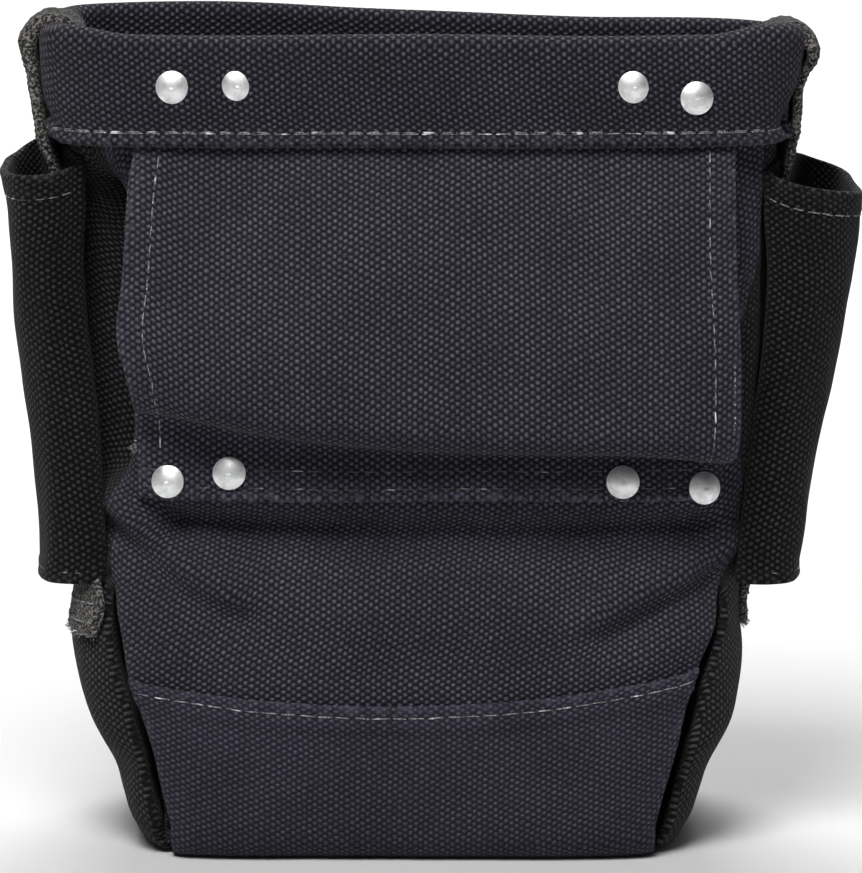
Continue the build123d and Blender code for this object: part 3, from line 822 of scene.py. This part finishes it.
# The panel's middle line from its foot up: height and how far it stands off the wall.
TUNNEL_PATH = [
    (0.0, 1.35), (3.0, 1.35), (7.0, 1.35), (10.6, 1.4), (13.2, 1.8), (14.5, 3.2), (15.0, 5.8),
    (15.3, 9.4), (16.3, 13.2), (18.9, 16.2), (24.0, 17.9), (31.0, 18.4), (41.0, 17.6), (53.0, 15.8),
    (67.0, 12.6), (79.0, 8.8), (89.0, 4.9), (96.0, 2.4), (101.0, 1.45), (109.0, 1.35), (118.0, 1.35),
]
# Its half widths, as x at each height.
TUNNEL_LEFT = ([100, 110, 124, 137, 170, 189, 202, 230], [83.0, 82.8, 84.8, 87.6, 86.4, 85.4, 83.6, 82.5])
TUNNEL_RIGHT = ([100, 108, 114, 122, 137, 170, 200, 230], [80.2, 82.2, 84.4, 86.3, 86.9, 85.8, 86.0, 86.0])
# How far its belly hangs down, at each x.
DROOP = (
    [-90, -78, -64, -45, -25, 0, 30, 58, 80, 90],
    [-11, -10.5, -7.8, -4.2, -1.7, 0.2, 1.0, 1.4, 3.6, 4.2],
)


def build_tunnel():
    path = np.array(TUNNEL_PATH)
    run = running(path, 0)
    v = spaced(run[-1], 1.25, CANVAS / 2)
    rise = curve(run, path[:, 0], v)
    stand = curve(run, path[:, 1], v)
    share = spaced(2.0, 0.0135, 0.011) - 1
    grid_s, grid_rise = np.meshgrid(share, rise, indexing="ij")
    grid_stand = np.broadcast_to(stand, grid_s.shape).copy()
    grid_v = np.broadcast_to(v, grid_s.shape)
    z = TUNNEL_FOOT + grid_rise * (TUNNEL_HEAD - TUNNEL_FOOT - 2) / path[-1, 0]
    half = np.where(grid_s < 0, curve(*TUNNEL_LEFT, z), curve(*TUNNEL_RIGHT, z))
    x = grid_s * half
    # The belly hangs lower towards the right, and runs out smoothly at the left end.
    moves = smooth(grid_rise, 9.5, 15.5) * (1 - smooth(grid_rise, 22, 62))
    droop = moves * curve(*DROOP, x)
    place = np.stack([x, np.zeros_like(x), z], -1)
    belly = smooth(grid_stand, 2.0, 9.0)
    edge = (1 - np.abs(grid_s)) * half
    off = GAP + CANVAS / 2 + (grid_stand - 1.35) * (1 + 0.1 * grid_s**2)
    off = off + belly * (0.8 * ripple(place, 60, 41) + 0.35 * ripple(place, 24, 42))
    off = off - 3.0 * (1 - smooth(x, -88, -66)) * hump(grid_rise, 17.5, 6.0) * belly
    off = off + 0.55 * (1 - belly) * (z < 120)
    wall = shell(front_angle(x, z), z, 0.0, 0.0)[..., 1]
    lip = valley(x, z) * (1 - smooth(z, 102.2, 103.8)) * smooth(x, -68, -58)
    wall = wall - (drape(x, wall, z) - lip) * (1 - belly)
    mid = np.stack([x, wall - off, z - droop], -1)
    mid[..., 2] += 0.4 * ripple(place, 50, 43) * hump(z, 104, 6)
    # Side hems of two layers, with a groove along each seam.
    hem = 1 - smooth(edge, 9.5, 11.0)
    seam_at = 7.6 - 1.0 * (1 - smooth(z, 108, 128))
    seam = hump(edge, seam_at, 0.8)
    rows = hump(z, FOOT_ROWS[0], 0.8) + hump(z, FOOT_ROWS[1], 0.8)
    foot = (1 - smooth(z, 111, 113)) * (1 - smooth(grid_stand, 1.6, 3.0))
    relief = 0.3 * hem - 0.5 * seam * (0.4 + 0.6 * belly) - 0.45 * rows * foot
    half_thick = CANVAS / 2 + 0.55 * foot + 0.15 * hem
    piece = cloth("canvas_belt_tunnel", mid, half_thick, relief, close=0.95)
    dress(piece, CLOTH, "canvas", "belt_tunnel")
    lift = half_thick + relief
    return {"mid": mid, "lift": lift, "z": z, "edge": edge, "seam_at": seam_at, "v": grid_v}


TUNNEL_GRID = build_tunnel()


# Side sleeves

def sleeve_rows(side, node):
    """Inner and outer reach of a sleeve at each height, read from its solid."""
    tree = tree_of(node)
    low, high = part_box(node)
    foot = low.z / MM
    reach = max(high.x, -low.x) / MM - 1.0
    rim = hit(tree, (side * reach, 0, 400), (0, 0, -1))[2]
    rows = []
    for share in np.linspace(0.02, 0.97, 9):
        z = foot + share * (rim - foot)
        outer = abs(hit(tree, (side * 300, 0, z), (-side, 0, 0))[0])
        inner = abs(hit(tree, (side * 60, 0, z), (side, 0, 0))[0])
        rows.append((z, inner, outer))
    return np.array(rows), foot, rim


def round_the_rim(turn, places):
    """A smooth closed curve through (degrees, value) places, read at turn in radians."""
    places = sorted(places)
    xs = [p[0] - 360 for p in places] + [p[0] for p in places] + [p[0] + 360 for p in places]
    return curve(xs, [p[1] for p in places] * 3, np.degrees(turn) % 360)


# Rim heights round each mouth. 0 is away from the bag, 90 rear, 180 the bag, 270 front.
RIMS = {
    -1: [
        (0, 193.4), (45, 195.6), (90, 199.0), (135, 201.0), (180, 200.6),
        (212, 198.4), (238, 194.6), (270, 192.6), (315, 192.6),
    ],
    1: [
        (0, 186.8), (45, 190.0), (90, 193.0), (135, 195.6), (180, 196.4),
        (205, 195.4), (230, 192.6), (265, 189.2), (310, 187.4),
    ],
}


def build_sleeve(name, side, node):
    rows, foot, rim = sleeve_rows(side, node)
    low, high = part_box(node)
    depth, centre_y = (high.y - low.y) / 2 / MM, (high.y + low.y) / 2 / MM
    turn = np.linspace(0, 2 * np.pi, 132, endpoint=False)
    v = spaced(1.0, 0.0135, 0.0085)
    grid_t, share = np.meshgrid(turn, v, indexing="ij")
    edge = round_the_rim(turn, RIMS[side])[:, None]
    z = foot + share * (edge - foot)
    grid_v = share * (edge - foot)
    inner = curve(rows[:, 0], rows[:, 1], np.clip(z, rows[0, 0], rows[-1, 0]))
    outer = curve(rows[:, 0], rows[:, 2], np.clip(z, rows[0, 0], rows[-1, 0]))
    nearer = 3.4 * smooth(share, 0.7, 0.93) * smooth(-np.sin(grid_t), 0.0, 0.5)
    inner = np.minimum(inner, side_reach(side, 0 * z, z) + 3.6 - nearer)
    middle, half = (inner + outer) / 2, (outer - inner) / 2 - CANVAS / 2
    c, s = np.cos(grid_t), np.sin(grid_t)
    square = 2.1 + 0.3 * share
    reach = (np.abs(c) ** square + np.abs(s) ** square) ** (-1 / square)
    top = smooth(share, 0.45, 1.0)
    foot_part = 1 - smooth(share, 0.1, 0.6)
    x = middle - 2.0 * foot_part * (c + 1) / 2 + half * reach * c
    y = centre_y + (depth - CANVAS / 2) * reach * s
    # The front wraps round the bag's corner, and the foot hangs forward.
    corner = np.exp(-(((grid_t - math.radians(228)) / 0.75) ** 2))
    x = x - corner * (7.0 + 3.5 * foot_part)
    y = y - corner * 4.0 - 6.0 * foot_part * (0.4 + 0.6 * smooth(-s, -0.3, 0.6))
    y = y + 3.5 * top * np.exp(-(((grid_t - math.radians(240)) / 0.3) ** 2))
    place = np.stack([30 * c, 30 * s, z], -1)
    swell = 0.9 * ripple(place, 52, 51 + side) + 0.35 * ripple(place, 22, 53 + side)
    lip = hump(share, 1.0, 0.02) * 0.5
    x = x + (swell * 0.8 + lip) * c
    y = y + (swell * 0.6 + lip) * s
    x = np.maximum(x, side_reach(side, y, z) + 1.2 - 1.5 * corner)
    mid = np.stack([side * x, y, z], -1)
    if side < 0:
        mid, grid_v, edge = mid[::-1], grid_v[::-1], edge[::-1]
    hem_top = 1 - smooth(edge - foot - grid_v, 7.4, 8.6)
    hem_foot = 1 - smooth(grid_v, 4.4, 5.4)
    seam = hump(grid_v, edge - foot - SLEEVE_SEAMS["mouth"], 0.8)
    seam += hump(grid_v, SLEEVE_SEAMS["foot"], 0.8)
    relief = 0.45 * np.maximum(hem_top, hem_foot) - 0.6 * seam
    piece = cloth(name, mid, CANVAS / 2 - 0.1 + 0.1 * np.maximum(hem_top, hem_foot), relief, wrap=True)
    # The sleeves take the darkest canvas copy: painted shade.
    dress(piece, SLEEVE, "canvas", node)
    return {"mid": mid, "v": grid_v, "rim": (edge - foot)[:, 0]}


LEFT_SLEEVE = build_sleeve("canvas_left_sleeve", -1, "left_sleeve")
RIGHT_SLEEVE = build_sleeve("canvas_right_sleeve", 1, "right_sleeve")


# Side webbing

# The webbing over the rim: how far outside the wall it runs, and at what height.
WEB_LOOP = [
    (2.4, 195.0), (5.2, 205.0), (6.7, 214.0), (7.4, 221.0), (8.6, 226.6), (8.6, 230.2),
    (6.2, 233.6), (2.6, 235.6), (-0.8, 235.2), (-3.8, 233.0), (-4.8, 227.0), (-5.6, 212.0),
    (-5.9, 198.0), (-5.9, 190.0),
]


def build_webbing(name, side, node):
    """Coarse webbing up the side, over the rim in a loop and down inside."""
    low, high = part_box(node)
    width = (high.y - low.y) / MM
    centre_y = (high.y + low.y) / 2 / MM
    foot = low.z / MM
    column = 0 if side < 0 else 1
    path = [(float(row_at(z)[column]) + 1.9, z) for z in (foot, foot + 6, foot + 14, foot + 24)]
    path += [(float(row_at(z)[column]) + 1.6, z) for z in (96, 110, 130, 150, 170, 184)]
    wall = float(row_at(220.0)[column])
    nearer = [0.4, 1.6, 2.4, 1.8, 0.4] if side > 0 else [0.0] * 5
    path += [(wall + a - less, z) for (a, z), less in zip(WEB_LOOP, nearer)]
    path += [(wall + a, z) for a, z in WEB_LOOP[5:]]
    sunk = 3.0 if side > 0 else 0.6
    path = [(a, z - sunk * float(smooth(z, 214, 230))) for a, z in path]
    path = np.array(path)
    run = running(path, 0)
    v = spaced(run[-1], 0.9, 1.3)
    x = curve(run, path[:, 0], v)
    z = curve(run, path[:, 1], v)
    w = spaced(width, 0.8, 1.3) - width / 2
    grid_w, grid_x = np.meshgrid(w, x, indexing="ij")
    grid_z = np.broadcast_to(z, grid_w.shape)
    grid_v = np.broadcast_to(v, grid_w.shape)
    place = np.stack([grid_w, np.zeros_like(grid_w), grid_v], -1)
    wave = 0.5 * ripple(place, 30, 61 + side) + 0.3 * ripple(place, 11, 63 + side)
    y = centre_y + grid_w * (1 + 0.05 * hump(grid_z, 236, 8))
    y = y + 0.8 * ripple(place * np.array([0, 0, 1]), 34, 65 + side)
    outside = grid_v < run[np.argmax(path[:, 1])]
    y = y - (23.0 if side < 0 else 4.0) * (1 - smooth(grid_z, 66, 116)) * outside
    bowed = side_reach(side, y, grid_z) - side_reach(side, 0 * y, grid_z)
    bowed = bowed * (1 - smooth(grid_z, 180, 204)) * outside
    bowed = bowed + outside * hump(grid_z, 68, 14) * (0.6 if side < 0 else -3.2)
    # Up the collar it is turned, so that its rear edge lies nearer the bag.
    fade = (226, 235) if side < 0 else (198, 204)
    turned = 5.5 * smooth(grid_z, 181, 192) * (1 - smooth(grid_z, *fade)) * outside
    bowed = bowed - turned * (grid_w / width + 0.45)
    mid = np.stack([side * (grid_x + bowed + wave * 0.5), y, grid_z + 0 * y], -1)
    rib = np.abs(np.sin(np.pi * grid_w / RIB)) - 0.5
    slant = 0.8 * grid_w * np.sign(np.sin(2 * np.pi * grid_w / RIB))
    plies = np.sin(2 * np.pi * (grid_v + slant) / 1.9)
    relief = 0.28 * rib + 0.14 * plies + 0.2 * ripple(place, 5, 67 + side)
    if side < 0:
        mid, relief = mid[::-1], relief[::-1]
    frayed = np.broadcast_to((1 - smooth(v, 9, 17))[None], relief.shape) * (0.8 if side < 0 else 0.3)
    thick = 1.3 + 1.3 * smooth(grid_z, 223, 231)
    thick = thick + (0.5 if side < 0 else 0.1) * smooth(grid_z, 196, 206) * outside
    piece = cloth(name, mid, thick, relief, worn=frayed)
    dress(piece, WEB, "webbing", node)
    return mid


LEFT_WEB = build_webbing("webbing_left", -1, "left_webbing")
RIGHT_WEB = build_webbing("webbing_right", 1, "right_webbing")


# Stitching

def capsule(a, b, radius, out, sag):
    """One stitch from a to b, sunk at its ends: a rounded bar of six sides."""
    along = b - a
    length = np.linalg.norm(along)
    along = along / length
    side = np.cross(along, out)
    side = side / max(np.linalg.norm(side), 1e-9)
    up = np.cross(side, along)
    stations = [
        (0.0, 0.15), (0.06, 0.72), (0.2, 1.0), (0.5, 1.05), (0.8, 1.0), (0.94, 0.72), (1.0, 0.15),
    ]
    verts, faces = [], []
    for share, size in stations:
        centre = a + along * length * share + up * (sag * math.sin(math.pi * share) - sag)
        for k in range(6):
            t = k * math.pi / 3
            verts.append(centre + radius * size * (math.cos(t) * side + math.sin(t) * up))
    for r in range(len(stations) - 1):
        for k in range(6):
            m = (k + 1) % 6
            faces.append((r * 6 + k, r * 6 + m, (r + 1) * 6 + m, (r + 1) * 6 + k))
    faces.append(tuple(range(5, -1, -1)))
    faces.append(tuple(range(len(stations) * 6 - 6, len(stations) * 6)))
    return verts, faces


class Row:
    """Stitches gathered into one mesh."""

    def __init__(self, seed):
        self.rng = np.random.default_rng(seed)
        self.verts, self.faces = [], []

    def add(self, verts, faces):
        base = len(self.verts)
        self.verts += verts
        self.faces += [tuple(base + i for i in f) for f in faces]

    def sew(self, line, outs, stitch=5.2, space=0.9, radius=0.33, lift=0.12, skip=0.0, away=()):
        """Stitches along a line of points whose outward directions are outs."""
        run = running(line, 0)
        at = self.rng.uniform(0, 1)
        while at + stitch < run[-1]:
            long = stitch - space + self.rng.normal() * 0.25
            ends = []
            for d in (at, at + long):
                p = np.array([np.interp(d, run, line[:, k]) for k in range(3)])
                n = np.array([np.interp(d, run, outs[:, k]) for k in range(3)])
                n /= np.linalg.norm(n)
                ends.append((p + n * lift, n))
            shift = self.rng.normal(size=3) * 0.09
            middle = (ends[0][0] + ends[1][0]) / 2
            clear = all(np.linalg.norm(middle - q) > r for q, r in away)
            if clear and self.rng.uniform() >= skip:
                out = ends[0][1] + ends[1][1]
                out /= np.linalg.norm(out)
                thick = radius * self.rng.uniform(0.85, 1.15)
                self.add(*capsule(ends[0][0] + shift, ends[1][0] - shift, thick, out, 0.16))
            at += stitch
        return self

    def tuft(self, root, out, count, reach, radius=0.11):
        """Loose fibres that stand out round a point."""
        for _ in range(count):
            way = out + self.rng.normal(size=3) * 0.75
            way /= np.linalg.norm(way)
            start = root + self.rng.normal(size=3) * 0.5
            end = start + way * reach * self.rng.uniform(0.5, 1.1)
            out_way = np.cross(way, [0.3, 0.5, 0.8])
            self.add(*capsule(start, end, radius, out_way, self.rng.uniform(-0.6, 0.6)))
        return self

    def made(self, name, material, *nodes):
        piece = new_object(name, np.array(self.verts), self.faces)
        return dress(piece, material, "thread", *nodes)


def grid_line(mid, lift, picks):
    """Points on the outer face of a grid at fractional (i, j) places, and its normals."""
    n = normals(mid, False)
    line, outs = [], []
    for i, j in picks:
        i0, j0 = int(i), int(j)
        i1, j1 = min(i0 + 1, mid.shape[0] - 1), min(j0 + 1, mid.shape[1] - 1)
        a, b = i - i0, j - j0
        p, q, height = (
            (g[i0, j0] * (1 - a) + g[i1, j0] * a) * (1 - b) + (g[i0, j1] * (1 - a) + g[i1, j1] * a) * b
            for g in (mid, n, lift)
        )
        line.append(p + q * height)
        outs.append(q)
    return np.array(line), np.array(outs)


def crossing(values, level):
    """The fractional index where a rising row of values passes level."""
    j = int(np.argmax(values >= level))
    return j - 1 + (level - values[j - 1]) / (values[j] - values[j - 1])


def rivet_spots(node):
    """The middle of each rivet's head in a node, in mm."""
    mesh = NODES[node].data
    points = np.array([v.co for v in mesh.vertices]) / MM
    spots = []
    for x in sorted(set(np.round(points[:, 0], 0))):
        if not spots or x - spots[-1][-1] > 4:
            spots.append([x, x])
        spots[-1][-1] = x
    found = []
    for low, high in spots:
        mine = points[(points[:, 0] >= low - 0.6) & (points[:, 0] <= high + 0.6)]
        front = mine[mine[:, 1] < mine[:, 1].min() + 1.2]
        found.append(front.mean(0))
    return found


def build_threads():
    # Collar, front and rear
    for name, made, node, seed in (
        ("thread_front_collar", FRONT_COLLAR, "front_collar_thread", 71),
        ("thread_rear_collar", REAR_COLLAR, "rear_collar_thread", 72),
    ):
        mid, lift = made
        picks = []
        for i in range(2, mid.shape[0] - 2):
            heights = mid[i, : mid.shape[1] // 3, 2]
            level = COLLAR_FOOT * (1 + TILT * mid[i, 5, 1]) + 3.8
            picks.append((i, crossing(heights, level)))
        line, outs = grid_line(mid, lift, picks)
        row = Row(seed).sew(line, outs, 5.2, 0.9, 0.21, 0.14)
        row.sew(line + np.array([0, 0, 0.45]), outs, 5.2, 1.8, 0.17, 0.18, 0.25)
        row.made(name, THREAD, node)

    # Tunnel hems and foot
    g = TUNNEL_GRID
    lift = g["lift"]
    nu, nv = g["mid"].shape[:2]
    for name, node, side, seed in (
        ("thread_tunnel_left", "tunnel_left_thread", -1, 73),
        ("thread_tunnel_right", "tunnel_right_thread", 1, 74),
    ):
        picks = []
        for j in range(nv):
            if g["v"][0, j] > 11 and g["z"][0, j] < COLLAR_FOOT + 2:
                depth = g["edge"][: nu // 2, j] if side < 0 else g["edge"][::-1][: nu // 2, j]
                i = crossing(depth, g["seam_at"][0, j])
                picks.append((i if side < 0 else nu - 1 - i, j))
        line, outs = grid_line(g["mid"], lift, picks)
        row = Row(seed).sew(line, outs, 5.0, 1.3, 0.21, 0.08)
        if side < 0:
            root = g["mid"][1, np.argmin(np.abs(g["mid"][1, :, 2] - 115.5))]
            row.tuft(root + np.array([-0.5, -0.3, 0]), np.array([-0.9, -0.2, 0.15]), 26, 2.4, 0.13)
        else:
            # Loops of overlock that show along the lower part of the right edge.
            rim, outs = g["mid"][-6], normals(g["mid"], False)[-6]
            low = np.argmin(np.abs(rim[:, 2] - 121))
            rim, outs = rim[low:low + 16], outs[low:low + 16]
            row.sew(rim + outs * 1.35, outs, 1.75, 0.75, 0.28, 0.10, 0.1)
        row.made(name, THREAD, node)
    away = [(spot, 5.6) for spot in rivet_spots("tunnel_rivets")]
    row = Row(75)
    for level in FOOT_ROWS:
        picks = []
        for i in range(4, nu - 4):
            column = g["z"][i, : nv // 4]
            picks.append((i, crossing(column, level)))
        line, outs = grid_line(g["mid"], lift, picks)
        row.sew(line, outs, 5.3, 1.2, 0.20, 0.06, 0.05, away)
    row.made("thread_tunnel_foot", DARK_THREAD, "tunnel_foot_threads")

    # Boot, front and rear
    for name, node, front, seed in (
        ("thread_boot_front", "boot_front_thread", True, 76),
        ("thread_boot_rear", "boot_rear_thread", False, 77),
    ):
        ahead = running(BOOT_MID, 1)
        picks = []
        for i in range(3, BOOT_MID.shape[0] - 3):
            level = BOOT_SEAM if front else ahead[i, -1] - BOOT_SEAM
            picks.append((i, crossing(ahead[i], level)))
        line, outs = grid_line(BOOT_MID, BOOT_LIFT, picks)
        Row(seed).sew(line, outs, 5.2, 0.9, 0.21, 0.10).made(name, THREAD, node)

    # Sleeve hems
    for name, node, sleeve, seed in (
        ("thread_left_sleeve", "left_sleeve_threads", LEFT_SLEEVE, 78),
        ("thread_right_sleeve", "right_sleeve_threads", RIGHT_SLEEVE, 79),
    ):
        mid = sleeve["mid"]
        row = Row(seed)
        n = normals(mid, True)
        mouth, foot = sleeve["rim"] - SLEEVE_SEAMS["mouth"], np.full(len(mid), SLEEVE_SEAMS["foot"])
        for levels in (mouth, foot):
            line, outs = [], []
            for i in [*range(len(mid)), 0]:
                j = crossing(sleeve["v"][i], levels[i])
                j0, b = int(j), j - int(j)
                line.append(mid[i, j0] * (1 - b) + mid[i, j0 + 1] * b)
                outs.append(n[i, j0] * (1 - b) + n[i, j0 + 1] * b)
            line, outs = np.array(line), np.array(outs)
            row.sew(line + outs * 0.86, outs, 4.2, 0.9, 0.21, 0.28)
        row.made(name, THREAD, node)

    # Webbing's outer ends
    for name, node, mid, side, seed in (
        ("thread_left_webbing", "left_webbing_threads", LEFT_WEB, -1, 80),
        ("thread_right_webbing", "right_webbing_threads", RIGHT_WEB, 1, 81),
    ):
        row = Row(seed)
        n = normals(mid, False)
        ahead = running(mid, 1)[0]
        for level in (3.0, 9.0):
            j = int(round(crossing(ahead, level)))
            row.sew(mid[3:-3, j] + n[3:-3, j] * 1.5, n[3:-3, j], 3.6, 0.6, 0.27, 0.15)
        for i in range(2, mid.shape[0] - 2):
            out = n[i, 2] + np.array([side * 0.2, 0, -0.5])
            row.tuft(mid[i, 1], out, 6, 1.5, 0.10)
        row.made(name, THREAD, node)


build_threads()

for node, material in (
    ("collar_rivets", BRIGHT),
    ("tunnel_rivets", BRIGHT),
    ("collar_rivet_burrs", DULL),
    ("tunnel_rivet_burrs", DULL),
):
    NODES[node].data.materials.clear()
    NODES[node].data.materials.append(material)


# Studio

def build_studio():
    size, bend, rise = 1.6, 0.5, 1.4
    profile = [(-2.2, 0.0), (size, 0.0)]
    for k in range(1, 9):
        t = k * math.pi / 16
        profile.append((size + bend * math.sin(t), bend * (1 - math.cos(t))))
    profile.append((size + bend, rise + bend))
    verts = [(x, y, z) for x in (-2.6, 2.6) for y, z in profile]
    count = len(profile)
    faces = [(i, i + count, i + count + 1, i + 1) for i in range(count - 1)]
    mesh = bpy.data.meshes.new("floor")
    mesh.from_pydata(verts, [], faces)
    mesh.polygons.foreach_set("use_smooth", [True] * len(mesh.polygons))
    floor = bpy.data.objects.new("floor", mesh)
    bpy.context.scene.collection.objects.link(floor)
    net = Net("floor_pale")
    net.shader.inputs["Base Color"].default_value = (0.66, 0.66, 0.66, 1)
    net.shader.inputs["Roughness"].default_value = 0.9
    net.shader.inputs["Specular IOR Level"].default_value = 0.1
    mesh.materials.append(net.material)

    world = bpy.data.worlds.new("studio")
    bpy.context.scene.world = world
    world.use_nodes = True
    world.node_tree.nodes["Background"].inputs[0].default_value = (1.0, 1.0, 1.02, 1)
    world.node_tree.nodes["Background"].inputs[1].default_value = 0.045

    for name, place, aim, span, power in (
        ("key", (-0.30, -1.05, 1.68), (0, 0, 0.12), 0.9, 37.5),
        ("front", (0.25, -2.30, 0.85), (0, 0, 0.14), 1.8, 1.2),
        ("back", (0.0, 1.55, 1.90), (0, 1.45, 0), 1.6, 66.0),
    ):
        lamp = bpy.data.lights.new(name, "AREA")
        lamp.shape = "SQUARE"
        lamp.size = span
        lamp.energy = power
        made = bpy.data.objects.new(name, lamp)
        made.location = place
        made.rotation_euler = (Vector(aim) - Vector(place)).to_track_quat("-Z", "Y").to_euler()
        bpy.context.scene.collection.objects.link(made)

    camera = bpy.data.cameras.new("camera")
    camera.lens = 220.9
    camera.sensor_width = 36.0
    camera.clip_end = 20
    made = bpy.data.objects.new("camera", camera)
    elevation = math.radians(8)
    reach = 1.5
    made.location = (0, -0.058 - reach * math.cos(elevation), 0.1216 + reach * math.sin(elevation))
    made.rotation_euler = (math.radians(90) - elevation, 0, 0)
    bpy.context.scene.collection.objects.link(made)
    bpy.context.scene.camera = made
    bpy.context.scene.view_settings.view_transform = "Standard"
    bpy.context.scene.view_settings.look = "None"


build_studio()
